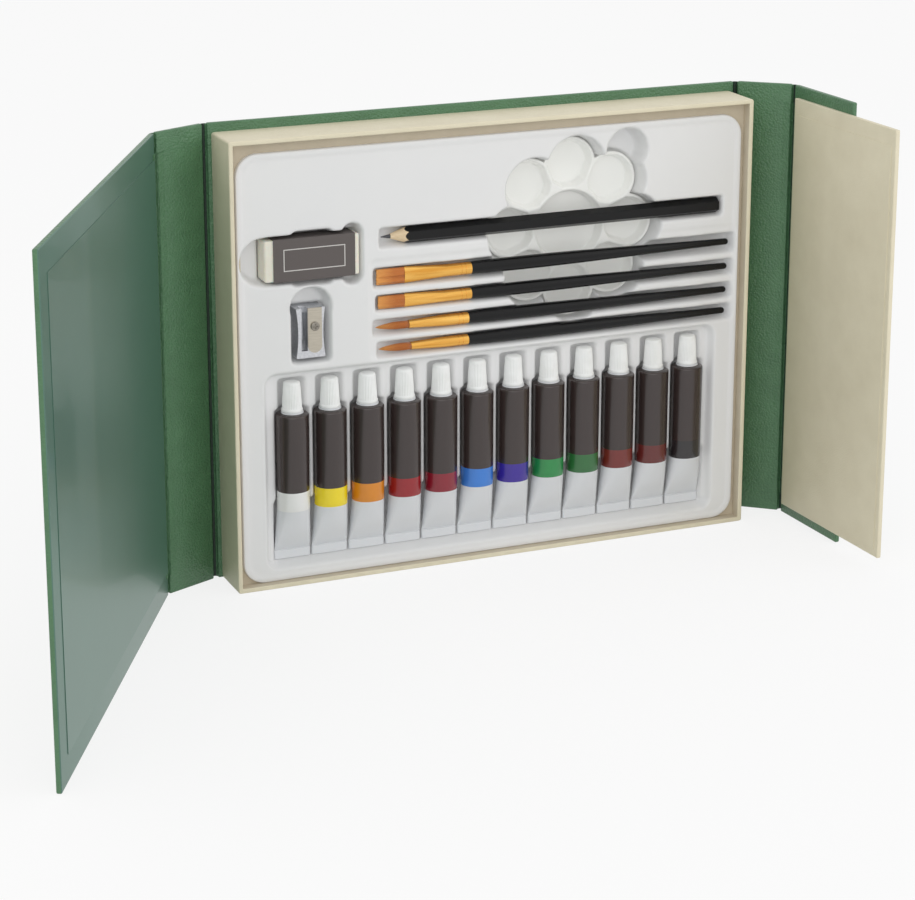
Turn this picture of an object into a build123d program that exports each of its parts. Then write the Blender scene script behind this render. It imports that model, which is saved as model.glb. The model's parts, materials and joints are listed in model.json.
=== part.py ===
"""Acrylic paint set in a book-style gift box that stands open on its lower edges.

Millimetres, +Z up. The origin is the middle of the tray's lower face. The open
side of the tray faces -Y, the cover's back board is behind it, and a spine and
a flap fold forward on each side.
"""

import os
from math import cos, radians, sin

from build123d import *

# Tray, a shallow paper-covered board box
tray_width = 272.0
tray_height = 220.0
tray_depth = 25.3
tray_board = 2.2
tray_corner = 0.9

# Cover boards
cover_board = 2.5
cover_top_margin = 4.5
cover_side_margin = 2.0
cover_edge_round = 0.6
left_flap_width = 221.0
flap_meeting_gap = 2.0
hinge_gap = 3.0
hinge_depth = 1.2
hinge_cloth = 0.6
cloth_end_margin = 0.3

# Closing panel glued to the inside of the right flap
panel_width = 90.0
panel_board = 2.3
panel_hinge_offset = 4.0
panel_bottom_margin = 5.7
panel_top_margin = 5.8
panel_clearance = 0.6

# Paper lining on the inside of the left flap
liner_thickness = 0.3
liner_margin = 12.0
liner_hinge_margin = 1.0
liner_clearance = 0.1

# Magnets that hold the flap shut
magnet_radius = 5.0
magnet_thickness = 1.0
magnet_pocket_clearance = 0.1
magnet_edge_distance = 20.0
magnet_height_low = 60.0
magnet_height_high = 164.5

# Fold of each board at rest, measured from the board that carries it
left_spine_fold = 24.0
left_flap_fold = 38.0
right_spine_fold = 40.0
right_flap_fold = 48.0

# Vacuum-formed insert
insert_recess = 4.0
insert_side_clearance = 1.9
insert_top_clearance = 5.1
insert_corner = 11.0
sheet = 0.6

# Paint tubes
tube_count = 12
tube_radius = 8.0
tube_spacing = 3.2
tube_row_shift = 1.0
tube_axis_depth = 4.5
tube_bottom = 10.5
crimp_height = 5.0
crimp_thickness = 1.8
crimp_gap = 0.8
crimp_set_back = 4.0
flat_half_thickness = 0.8
wedge_top = 30.0
wedge_half_width = 8.2
wedge_half_thickness = 7.3
wedge_set_back = 0.6
wedge_bed_depth = 7.2
wedge_bed_ease = 0.4
shoulder_start = 73.6
shoulder_height = 1.6
nozzle_base_radius = 4.8
nozzle_radius = 3.1
nozzle_length = 9.0
thread_height = 0.4
thread_width = 0.6
thread_pitch = 1.8
thread_turns = 4

# Screw caps
cap_height = 14.5
cap_bottom_radius = 5.5
cap_top_radius = 3.9
cap_seat_gap = 0.3
cap_bore_clearance = 0.1
cap_bore_end_gap = 0.8
cap_edge_round = 0.5

# Tube bay in the insert
bay_left = 17.6
bay_right = 254.7
bay_bottom = 9.0
bay_top = 104.8
bay_depth = 5.0
bay_corner = 5.0
piece_clearance = 0.3

# Brushes, each given by the height of its axis and the places along it
brush_axis_depth = 3.4
brush_bay_left = 70.5
brush_bay_right = 265.2
brush_bay_bottom = 107.9
brush_bay_top = 156.0
brush_bay_depth = 1.0
brush_bay_corner = 3.0
brush_heights = (147.3, 134.7, 122.6, 111.7)
brush_tips = (74.4, 75.2, 73.9, 75.5)
brush_ferrule_starts = (88.6, 88.6, 90.7, 91.8)
brush_ferrule_ends = (123.0, 123.0, 121.5, 121.5)
brush_handle_ends = (263.4, 263.0, 262.8, 262.3)
brush_mouth_half_widths = (4.1, 3.4, 2.0, 1.9)
brush_mouth_half_thicknesses = (1.5, 1.4, 2.0, 1.9)
brush_ferrule_radii = (3.05, 2.8, 2.9, 2.7)
brush_names = ("flat_brush_wide", "flat_brush_narrow", "round_brush_large", "round_brush_small")
ferrule_wall = 0.25
ferrule_transition = 0.62
crimp_ring_depth = 0.15
crimp_ring_width = 0.7
crimp_ring_offsets = (3.0, 5.2)
tenon_length = 13.0
tenon_gap = 0.05
handle_belly = 0.35
handle_belly_distance = 24.0
handle_end_radius = 1.6
groove_end_margin = 1.2

# Brush hair, strands on a slice of their backing
hair_plug_length = 2.0
hair_plug_gap = 0.05
flat_strand_rows = 5
flat_strand_columns = 21
round_strand_rings = 4
strand_fill = 0.7
flat_tip_thickness = 0.35
round_belly_scale = 1.08
round_belly_place = 0.35
round_tip_scale = 0.16

# Pencil
pencil_height = 166.7
pencil_axis_depth = 4.0
pencil_tip = 77.2
pencil_cone_end = 90.2
pencil_end = 256.5
pencil_flats = 6.9
lead_radius = 1.1
lead_gap = 0.03
lead_point_radius = 0.25
lead_bare_length = 4.6

# Eraser and its card sleeve
rubber_left = 17.7
rubber_length = 47.4
rubber_bottom = 150.9
rubber_height = 19.6
rubber_thickness = 10.8
rubber_round = 1.0
sleeve_start = 4.4
sleeve_length = 40.7
sleeve_card = 0.4
sleeve_gap = 0.1
eraser_front_depth = 0.3
thumb_radius = 10.5
thumb_left = 6.6
thumb_depth = 9.0
notch_width = 20.0
notch_start = 31.5
notch_rise = 2.6
small_notch_centre = 61.5
small_notch_radius = 4.2
notch_depth = 7.0

# Wedge sharpener
sharpener_centre = 40.4
sharpener_bottom = 112.0
sharpener_length = 24.4
sharpener_width = 14.6
sharpener_waist = 12.6
sharpener_thickness = 10.5
sharpener_front_depth = 0.8
sharpener_round = 0.5
cone_mouth_radius = 4.0
cone_end_radius = 1.2
cone_length = 21.0
cone_offset = -2.6
cone_axis_depth = 5.4
throat_width = 3.0
throat_offset = -3.2
throat_end_margin = 3.5
blade_length = 22.0
blade_width = 7.0
blade_thickness = 0.6
blade_offset = 1.9
screw_height = 15.4
screw_head_radius = 2.2
screw_head_height = 0.9
screw_shank_radius = 1.1
screw_shank_length = 4.0
screw_shank_gap = 0.05
cross_length = 2.6
cross_width = 0.6
cross_depth = 0.5
sharpener_pocket_bulge = 1.4
sharpener_thumb_radius = 9.2

# Flower palette
palette_centre_x = 178.1
palette_centre_z = 161.6
petal_count = 8
petal_circle = 31.2
petal_radius = 13.8
petal_well_radius = 10.6
centre_well_radius = 16.8
centre_disc_radius = 29.0
palette_wall = 1.2
palette_rim = 1.4
palette_height = 6.4
palette_front_depth = 9.0
palette_well_taper = 12.0
palette_finger_radius = 9.7
palette_finger_x = 205.3
palette_finger_z = 199.0
palette_finger_depth = 12.0

# Values that follow from the ones above
cover_height = tray_height + cover_top_margin
back_width = tray_width + 2 * cover_side_margin
right_flap_width = back_width - left_flap_width - flap_meeting_gap
right_stack = panel_clearance + panel_board
left_stack = right_stack + liner_thickness + liner_clearance
left_spine_width = tray_depth + left_stack - hinge_gap + 2 * hinge_depth
right_spine_width = tray_depth + right_stack - hinge_gap + 2 * hinge_depth
panel_height = cover_height - panel_bottom_margin - panel_top_margin

tray_left = -tray_width / 2
tray_front = -tray_depth / 2
tray_back = tray_depth / 2
floor_front = tray_back - tray_board
plate_front = tray_front + insert_recess
hinge_y = tray_back + hinge_depth
hinge_x = back_width / 2 + hinge_gap / 2

insert_width = tray_width - 2 * tray_board - 2 * insert_side_clearance
insert_height = tray_height - 2 * tray_board - insert_top_clearance
insert_middle_z = tray_board + insert_height / 2

tube_pitch = 2 * tube_radius + tube_spacing
tube_axis_y = plate_front + tube_axis_depth
crimp_width = tube_pitch - crimp_gap
crimp_y = tube_axis_y + crimp_set_back
crimp_top = tube_bottom + crimp_height
wedge_z = tube_bottom + wedge_top
shoulder_z = tube_bottom + shoulder_start
nozzle_z = shoulder_z + shoulder_height
cap_z = nozzle_z + cap_seat_gap
cap_top_z = cap_z + cap_height
thread_radius = nozzle_radius + thread_height
channel_radius = tube_radius + piece_clearance
tube_places = [
    (tube_row_shift + (index - (tube_count - 1) / 2) * tube_pitch) for index in range(tube_count)
]

os.makedirs("parts", exist_ok=True)


def along(distance):
    """X of a place given as its distance from the tray's left side."""
    return tray_left + distance


def facing(depth):
    """Sketch plane parallel to the insert's face, at a depth behind it, seen from the front."""
    return Plane.XZ.offset(-(plate_front + depth))


def panel_plane(start, side, fold):
    """Plane of a folded board, with its X along the board from the hinge and Z up."""
    return Plane(
        origin=(start[0], start[1], 0),
        x_dir=(side * cos(radians(fold)), -sin(radians(fold)), 0),
        z_dir=(0, 0, 1),
    )


def next_hinge(start, side, fold, board_width):
    """Hinge point at the far end of a folded board."""
    reach = hinge_gap + board_width
    return (start[0] + side * reach * cos(radians(fold)), start[1] - reach * sin(radians(fold)))


# A board's inner face is on the viewer's side: +Y in a left plane, -Y in a right one
left_start = (-hinge_x, hinge_y)
right_start = (hinge_x, hinge_y)
left_end = next_hinge(left_start, -1, left_spine_fold, left_spine_width)
right_end = next_hinge(right_start, 1, right_spine_fold, right_spine_width)
left_total = left_spine_fold + left_flap_fold
right_total = right_spine_fold + right_flap_fold
left_spine_plane = panel_plane(left_start, -1, left_spine_fold)
left_flap_plane = panel_plane(left_end, -1, left_total)
right_spine_plane = panel_plane(right_start, 1, right_spine_fold)
right_flap_plane = panel_plane(right_end, 1, right_total)
board_middle = hinge_depth - cover_board / 2
board_start = hinge_gap / 2

# Back board of the cover, behind the tray
with BuildPart() as back_board:
    with BuildSketch(Plane.XY):
        with Locations((0, tray_back + cover_board / 2)):
            Rectangle(back_width, cover_board)
    extrude(amount=cover_height)
    fillet(back_board.edges().filter_by(Axis.X).group_by(Axis.Y)[-1], cover_edge_round)
back_board.part.label = "back_board"
export_step(back_board.part, "parts/back_board.step")

# Spine boards beside the tray
with BuildPart() as left_spine_board:
    with BuildSketch(left_spine_plane):
        with Locations((board_start + left_spine_width / 2, board_middle)):
            Rectangle(left_spine_width, cover_board)
    extrude(amount=cover_height)
left_spine_board.part.label = "left_spine_board"
export_step(left_spine_board.part, "parts/left_spine_board.step")

with BuildPart() as right_spine_board:
    with BuildSketch(right_spine_plane):
        with Locations((board_start + right_spine_width / 2, -board_middle)):
            Rectangle(right_spine_width, cover_board)
    extrude(amount=cover_height)
right_spine_board.part.label = "right_spine_board"
export_step(right_spine_board.part, "parts/right_spine_board.step")

# Front flaps, the left one with pockets for its magnets
magnet_pocket_radius = magnet_radius + magnet_pocket_clearance
magnet_pocket_depth = magnet_thickness + magnet_pocket_clearance
left_magnet_x = board_start + left_flap_width - magnet_edge_distance
magnet_span = left_flap_width - magnet_edge_distance
panel_magnet_x = board_start + back_width - magnet_span
magnet_heights = (magnet_height_low, magnet_height_high)


def board_face(plane, height):
    """Sketch plane on a board's inner or outer side, X along the board and Y up."""
    return Plane(
        origin=plane.origin + plane.y_dir * height, x_dir=plane.x_dir, z_dir=-plane.y_dir
    )


with BuildPart() as left_flap_board:
    with BuildSketch(left_flap_plane):
        with Locations((board_start + left_flap_width / 2, board_middle)):
            Rectangle(left_flap_width, cover_board)
    extrude(amount=cover_height)
    with BuildSketch(board_face(left_flap_plane, hinge_depth)):
        with Locations(*[(left_magnet_x, height) for height in magnet_heights]):
            Circle(magnet_pocket_radius)
    extrude(amount=magnet_pocket_depth, mode=Mode.SUBTRACT)
left_flap_board.part.label = "left_flap_board"
export_step(left_flap_board.part, "parts/left_flap_board.step")

with BuildPart() as right_flap_board:
    with BuildSketch(right_flap_plane):
        with Locations((board_start + right_flap_width / 2, -board_middle)):
            Rectangle(right_flap_width, cover_board)
    extrude(amount=cover_height)
right_flap_board.part.label = "right_flap_board"
export_step(right_flap_board.part, "parts/right_flap_board.step")

# Paper-covered closing panel, which the left flap lands on
panel_inner = hinge_depth + panel_board
with BuildPart() as closing_panel:
    with BuildSketch(right_flap_plane.offset(panel_bottom_margin)):
        with Locations(
            (board_start + panel_hinge_offset + panel_width / 2, -(hinge_depth + panel_board / 2))
        ):
            Rectangle(panel_width, panel_board)
    extrude(amount=panel_height)
    with BuildSketch(board_face(right_flap_plane, -panel_inner)):
        with Locations(*[(panel_magnet_x, height) for height in magnet_heights]):
            Circle(magnet_pocket_radius)
    extrude(amount=-magnet_pocket_depth, mode=Mode.SUBTRACT)
closing_panel.part.label = "closing_panel"
export_step(closing_panel.part, "parts/closing_panel.step")

# Magnets, flush in their pockets
with BuildPart() as flap_magnets:
    with BuildSketch(board_face(left_flap_plane, hinge_depth - magnet_pocket_clearance)):
        with Locations(*[(left_magnet_x, height) for height in magnet_heights]):
            Circle(magnet_radius)
    extrude(amount=magnet_thickness)
flap_magnets.part.label = "flap_magnets"
export_step(flap_magnets.part, "parts/flap_magnets.step")

with BuildPart() as panel_magnets:
    with BuildSketch(board_face(right_flap_plane, -(panel_inner - magnet_pocket_clearance))):
        with Locations(*[(panel_magnet_x, height) for height in magnet_heights]):
            Circle(magnet_radius)
    extrude(amount=-magnet_thickness)
panel_magnets.part.label = "panel_magnets"
export_step(panel_magnets.part, "parts/panel_magnets.step")

# Smooth lining paper on the inside of the left flap
liner_width = left_flap_width - liner_margin - liner_hinge_margin
with BuildPart() as left_flap_liner:
    with BuildSketch(left_flap_plane.offset(liner_margin)):
        with Locations(
            (
                board_start + liner_hinge_margin + liner_width / 2,
                hinge_depth + liner_thickness / 2,
            )
        ):
            Rectangle(liner_width, liner_thickness)
    extrude(amount=cover_height - 2 * liner_margin)
left_flap_liner.part.label = "left_flap_liner"
export_step(left_flap_liner.part, "parts/left_flap_liner.step")

# Cloth in each hinge gutter, flush with the outer faces of its two boards
outer = hinge_depth - cover_board
cloth_height = cover_height - 2 * cloth_end_margin
flat_left = panel_plane(left_start, -1, 0)
flat_right = panel_plane(right_start, 1, 0)
hinges = {
    "left_inner_hinge_cloth": (flat_left, left_spine_plane, 1, 0),
    "left_outer_hinge_cloth": (left_spine_plane, left_flap_plane, 1, hinge_gap + left_spine_width),
    "right_inner_hinge_cloth": (flat_right, right_spine_plane, -1, 0),
    "right_outer_hinge_cloth": (
        right_spine_plane,
        right_flap_plane,
        -1,
        hinge_gap + right_spine_width,
    ),
}
for hinge_name, (near_plane, far_plane, sign, near_offset) in hinges.items():
    corners = [
        near_plane.from_local_coords((near_offset - board_start, sign * outer)),
        near_plane.from_local_coords((near_offset - board_start, sign * (outer + hinge_cloth))),
        far_plane.from_local_coords((board_start, sign * (outer + hinge_cloth))),
        far_plane.from_local_coords((board_start, sign * outer)),
    ]
    with BuildPart() as hinge_strip:
        with BuildSketch(Plane.XY.offset(cloth_end_margin)):
            with BuildLine():
                Polyline(*[(corner.X, corner.Y) for corner in corners], close=True)
            make_face()
        extrude(amount=cloth_height)
    hinge_strip.part.label = hinge_name
    export_step(hinge_strip.part, f"parts/{hinge_name}.step")

# Tray floor and the folded strip that forms its four walls
with BuildPart() as tray_floor:
    with BuildSketch(Plane.XZ.offset(-floor_front)):
        with Locations((0, tray_height / 2)):
            Rectangle(tray_width - 2 * tray_board, tray_height - 2 * tray_board)
    extrude(amount=-tray_board)
tray_floor.part.label = "tray_floor"
export_step(tray_floor.part, "parts/tray_floor.step")

with BuildPart() as tray_frame:
    with BuildSketch(Plane.XZ.offset(-tray_front)):
        with Locations((0, tray_height / 2)):
            RectangleRounded(tray_width, tray_height, tray_corner)
            Rectangle(
                tray_width - 2 * tray_board, tray_height - 2 * tray_board, mode=Mode.SUBTRACT
            )
    extrude(amount=-tray_depth)
tray_frame.part.label = "tray_frame"
export_step(tray_frame.part, "parts/tray_frame.step")

# Flower palette outline, shared by the palette and its pocket
palette_x = along(palette_centre_x)


def flower_block(depth, grow, thickness):
    """Block with the palette's scalloped outline grown by a margin, from a depth backwards."""
    with BuildPart() as block:
        with BuildSketch(facing(depth)):
            with Locations((palette_x, palette_centre_z)):
                Circle(centre_disc_radius + grow)
                with PolarLocations(petal_circle, petal_count):
                    Circle(petal_radius + grow)
        extrude(amount=-thickness)
    return block.part


def slab(x_low, x_high, z_low, z_high, corner, depth, lead, grow):
    """Rounded rectangular pocket in the insert, from lead in front of its face."""
    with BuildPart() as pocket:
        with BuildSketch(facing(-lead)):
            with Locations((along((x_low + x_high) / 2), (z_low + z_high) / 2)):
                RectangleRounded(
                    x_high - x_low + 2 * grow, z_high - z_low + 2 * grow, corner + grow
                )
        extrude(amount=-(depth + lead + grow))
    return pocket.part


def round_well(x, z, radius, depth, lead, grow):
    """Round pocket in the insert."""
    with BuildPart() as pocket:
        with BuildSketch(facing(-lead)):
            with Locations((along(x), z)):
                Circle(radius + grow)
        extrude(amount=-(depth + lead + grow))
    return pocket.part


def trough(z, half_width, x_low, x_high, axis_depth, lead, grow):
    """Round-bottomed groove along X for a brush or the pencil."""
    half = half_width + grow
    depth = axis_depth + lead
    with BuildPart() as groove:
        with BuildSketch(Plane.YZ.offset(along(x_low) - grow)):
            with Locations((plate_front + axis_depth, z)):
                Circle(half)
            with Locations((plate_front - lead + depth / 2, z)):
                Rectangle(depth, 2 * half)
        extrude(amount=x_high - x_low + 2 * grow)
    return groove.part


def upright_bed(radius, low, high, bed_y):
    """Round-bottomed bed along Z under every tube, open towards the front."""
    with BuildPart() as bed:
        with BuildSketch(Plane.XY.offset(low)):
            with Locations(*[(x, tube_axis_y) for x in tube_places]):
                Circle(radius)
            with Locations(*[(x, (bed_y + tube_axis_y) / 2) for x in tube_places]):
                Rectangle(2 * radius, tube_axis_y - bed_y)
        extrude(amount=high - low)
    return bed.part


def sloped_bed(x_low, x_high, side_profile):
    """Bed along X with one side profile, given as points of depth and height."""
    with BuildPart() as bed:
        with BuildSketch(Plane.YZ.offset(x_low)):
            with BuildLine():
                Polyline(*side_profile, close=True)
            make_face()
        extrude(amount=x_high - x_low)
    return bed.part


def tube_channels(lead, grow):
    """Beds for the round bodies, the caps, the flattened ends and the row of crimps."""
    bed_y = plate_front - lead
    body_top = nozzle_z + piece_clearance + grow
    half = channel_radius + grow
    cap_half = cap_bottom_radius + piece_clearance + grow
    deep = tube_axis_y + half
    shallow = crimp_y + crimp_thickness / 2 + piece_clearance + grow
    low = tube_bottom - piece_clearance - grow
    trough_end = plate_front + wedge_bed_depth + grow
    row_half = crimp_width / 2 + piece_clearance + grow
    beds = [
        upright_bed(half, wedge_z - grow, body_top, bed_y),
        upright_bed(cap_half, body_top - 2 * grow, cap_top_z + piece_clearance + grow, bed_y),
        sloped_bed(
            tube_places[0] - row_half,
            tube_places[-1] + row_half,
            [
                (bed_y, low),
                (shallow, low),
                (shallow, crimp_top),
                (trough_end, wedge_z + grow),
                (bed_y, wedge_z + grow),
            ],
        ),
    ]
    tube_profile = [
        (bed_y, low),
        (shallow, low),
        (shallow, crimp_top),
        (deep + wedge_bed_ease, wedge_z + grow),
        (bed_y, wedge_z + grow),
    ]
    beds += [sloped_bed(x - half, x + half, tube_profile) for x in tube_places]
    return beds


def insert_pockets(lead, grow):
    """All hollows of the insert as one volume: exact with grow 0, or grown by the sheet."""
    rubber_top = rubber_bottom + rubber_height
    sleeve_out = sleeve_card + sleeve_gap
    sharpener_half = sharpener_width / 2 + sharpener_pocket_bulge
    sharpener_back = sharpener_front_depth + blade_thickness + sharpener_thickness
    brush_widest = [
        max(radius + handle_belly, mouth)
        for radius, mouth in zip(brush_ferrule_radii, brush_mouth_half_widths)
    ]
    pockets = [
        slab(bay_left, bay_right, bay_bottom, bay_top, bay_corner, bay_depth, lead, grow),
        slab(
            brush_bay_left,
            brush_bay_right,
            brush_bay_bottom,
            brush_bay_top,
            brush_bay_corner,
            brush_bay_depth,
            lead,
            grow,
        ),
        trough(
            pencil_height,
            pencil_flats / cos(radians(30)) / 2 + piece_clearance,
            pencil_tip - groove_end_margin,
            pencil_end + groove_end_margin,
            pencil_axis_depth,
            lead,
            grow,
        ),
        round_well(
            palette_finger_x,
            palette_finger_z,
            palette_finger_radius,
            palette_finger_depth,
            lead,
            grow,
        ),
        slab(
            rubber_left - piece_clearance,
            rubber_left + rubber_length + piece_clearance,
            rubber_bottom - sleeve_out - piece_clearance,
            rubber_top + sleeve_out + piece_clearance,
            rubber_round,
            eraser_front_depth + rubber_thickness + 2 * sleeve_out + piece_clearance,
            lead,
            grow,
        ),
        round_well(
            thumb_left + thumb_radius,
            rubber_bottom + rubber_height / 2,
            thumb_radius,
            thumb_depth,
            lead,
            grow,
        ),
        slab(
            notch_start,
            notch_start + notch_width,
            rubber_bottom - notch_rise,
            rubber_top + notch_rise,
            notch_rise,
            notch_depth,
            lead,
            grow,
        ),
        slab(
            sharpener_centre - sharpener_half,
            sharpener_centre + sharpener_half,
            sharpener_bottom - sharpener_pocket_bulge,
            sharpener_bottom + sharpener_length + piece_clearance,
            sharpener_pocket_bulge,
            sharpener_back + piece_clearance,
            lead,
            grow,
        ),
        round_well(
            sharpener_centre,
            sharpener_bottom + sharpener_length,
            sharpener_thumb_radius,
            thumb_depth,
            lead,
            grow,
        ),
    ]
    pockets += tube_channels(lead, grow)
    for z in (rubber_bottom, rubber_top):
        pockets.append(
            round_well(small_notch_centre, z, small_notch_radius, notch_depth, lead, grow)
        )
    for z, half, tip, end in zip(brush_heights, brush_widest, brush_tips, brush_handle_ends):
        pockets.append(
            trough(
                z,
                half + piece_clearance,
                tip - groove_end_margin,
                end + groove_end_margin,
                brush_axis_depth,
                lead,
                grow,
            )
        )
    flower_depth = palette_front_depth + palette_height + piece_clearance
    pockets.append(
        flower_block(-lead, piece_clearance + grow, flower_depth + lead + grow)
    )
    return pockets


# White vacuum-formed insert that stands on the tray's lower wall and floor
cut_lead = 1.0
pocket_walls = insert_pockets(0, sheet)
pocket_hollows = insert_pockets(cut_lead, 0)
with BuildPart() as insert_tray:
    with BuildSketch(facing(0)):
        with Locations((0, insert_middle_z)):
            RectangleRounded(insert_width, insert_height, insert_corner)
    extrude(amount=-(floor_front - plate_front))
    with BuildSketch(facing(sheet)):
        with Locations((0, insert_middle_z)):
            RectangleRounded(
                insert_width - 2 * sheet, insert_height - 2 * sheet, insert_corner - sheet
            )
    extrude(amount=-(floor_front - plate_front), mode=Mode.SUBTRACT)
    add(pocket_walls)
    with BuildSketch(facing(0)):
        with Locations((0, insert_middle_z)):
            Rectangle(insert_width, insert_height)
    extrude(amount=tray_depth, mode=Mode.SUBTRACT)
    add(pocket_hollows, mode=Mode.SUBTRACT)
insert_tray.part.label = "insert_tray"
export_step(insert_tray.part, "parts/insert_tray.step")

# Paint tubes, round at the shoulder and pressed flat at the crimped end
thread_start = nozzle_z + 1.5 * thread_pitch
for number, tube_x in enumerate(tube_places, start=1):
    with BuildPart() as tube:
        with BuildSketch(Plane.XY.offset(shoulder_z)):
            with Locations((tube_x, tube_axis_y)):
                Circle(tube_radius)
        with BuildSketch(Plane.XY.offset(wedge_z)):
            with Locations((tube_x, tube_axis_y + wedge_set_back)):
                Ellipse(wedge_half_width, wedge_half_thickness)
        with BuildSketch(Plane.XY.offset(crimp_top)):
            with Locations((tube_x, crimp_y)):
                Ellipse(crimp_width / 2, flat_half_thickness)
        loft(ruled=True)
        with BuildSketch(Plane.XY.offset(tube_bottom)):
            with Locations((tube_x, crimp_y)):
                Rectangle(crimp_width, crimp_thickness)
        extrude(amount=crimp_height)
        with BuildSketch(Plane(origin=(tube_x, tube_axis_y, 0), x_dir=(1, 0, 0), z_dir=(0, -1, 0))):
            with BuildLine():
                Polyline(
                    (0, shoulder_z),
                    (tube_radius, shoulder_z),
                    (nozzle_base_radius, nozzle_z),
                    (nozzle_radius, nozzle_z),
                    (nozzle_radius, nozzle_z + nozzle_length),
                    (0, nozzle_z + nozzle_length),
                    close=True,
                )
            make_face()
            for turn in range(thread_turns):
                with Locations((nozzle_radius, thread_start + turn * thread_pitch)):
                    Rectangle(2 * thread_height, thread_width)
        revolve(axis=Axis((tube_x, tube_axis_y, 0), (0, 0, 1)))
    tube.part.label = f"tube_{number:02d}"
    export_step(tube.part, f"parts/tube_{number:02d}.step")

    # Tapered screw cap over the nozzle
    bore_radius = thread_radius + cap_bore_clearance
    bore_top = nozzle_z + nozzle_length + cap_bore_end_gap
    with BuildPart() as cap:
        with BuildSketch(Plane(origin=(tube_x, tube_axis_y, 0), x_dir=(1, 0, 0), z_dir=(0, -1, 0))):
            with BuildLine():
                Polyline(
                    (0, cap_top_z),
                    (cap_top_radius, cap_top_z),
                    (cap_bottom_radius, cap_z),
                    (bore_radius, cap_z),
                    (bore_radius, bore_top),
                    (0, bore_top),
                    close=True,
                )
            make_face()
        revolve(axis=Axis((tube_x, tube_axis_y, 0), (0, 0, 1)))
        fillet(cap.edges().filter_by(GeomType.CIRCLE).group_by(Axis.Z)[-1], cap_edge_round)
    cap.part.label = f"cap_{number:02d}"
    export_step(cap.part, f"parts/cap_{number:02d}.step")


# Brushes: hair strands on a plug, a formed ferrule and a turned handle
brush_y = plate_front + brush_axis_depth


def strand_places(half_width, half_thickness, flat):
    """Places of the strands in a brush mouth, as fractions of its half width and thickness."""
    if flat:
        return [
            (
                half_thickness * (2 * (row + 0.5) / flat_strand_rows - 1),
                half_width * (2 * (column + 0.5) / flat_strand_columns - 1),
            )
            for row in range(flat_strand_rows)
            for column in range(flat_strand_columns)
        ]
    spacing = half_width / (round_strand_rings + 0.5)
    places = [(0.0, 0.0)]
    for ring in range(1, round_strand_rings + 1):
        count = 6 * ring
        for index in range(count):
            turn = radians(360 * index / count)
            places.append((ring * spacing * cos(turn), ring * spacing * sin(turn)))
    return places


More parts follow.
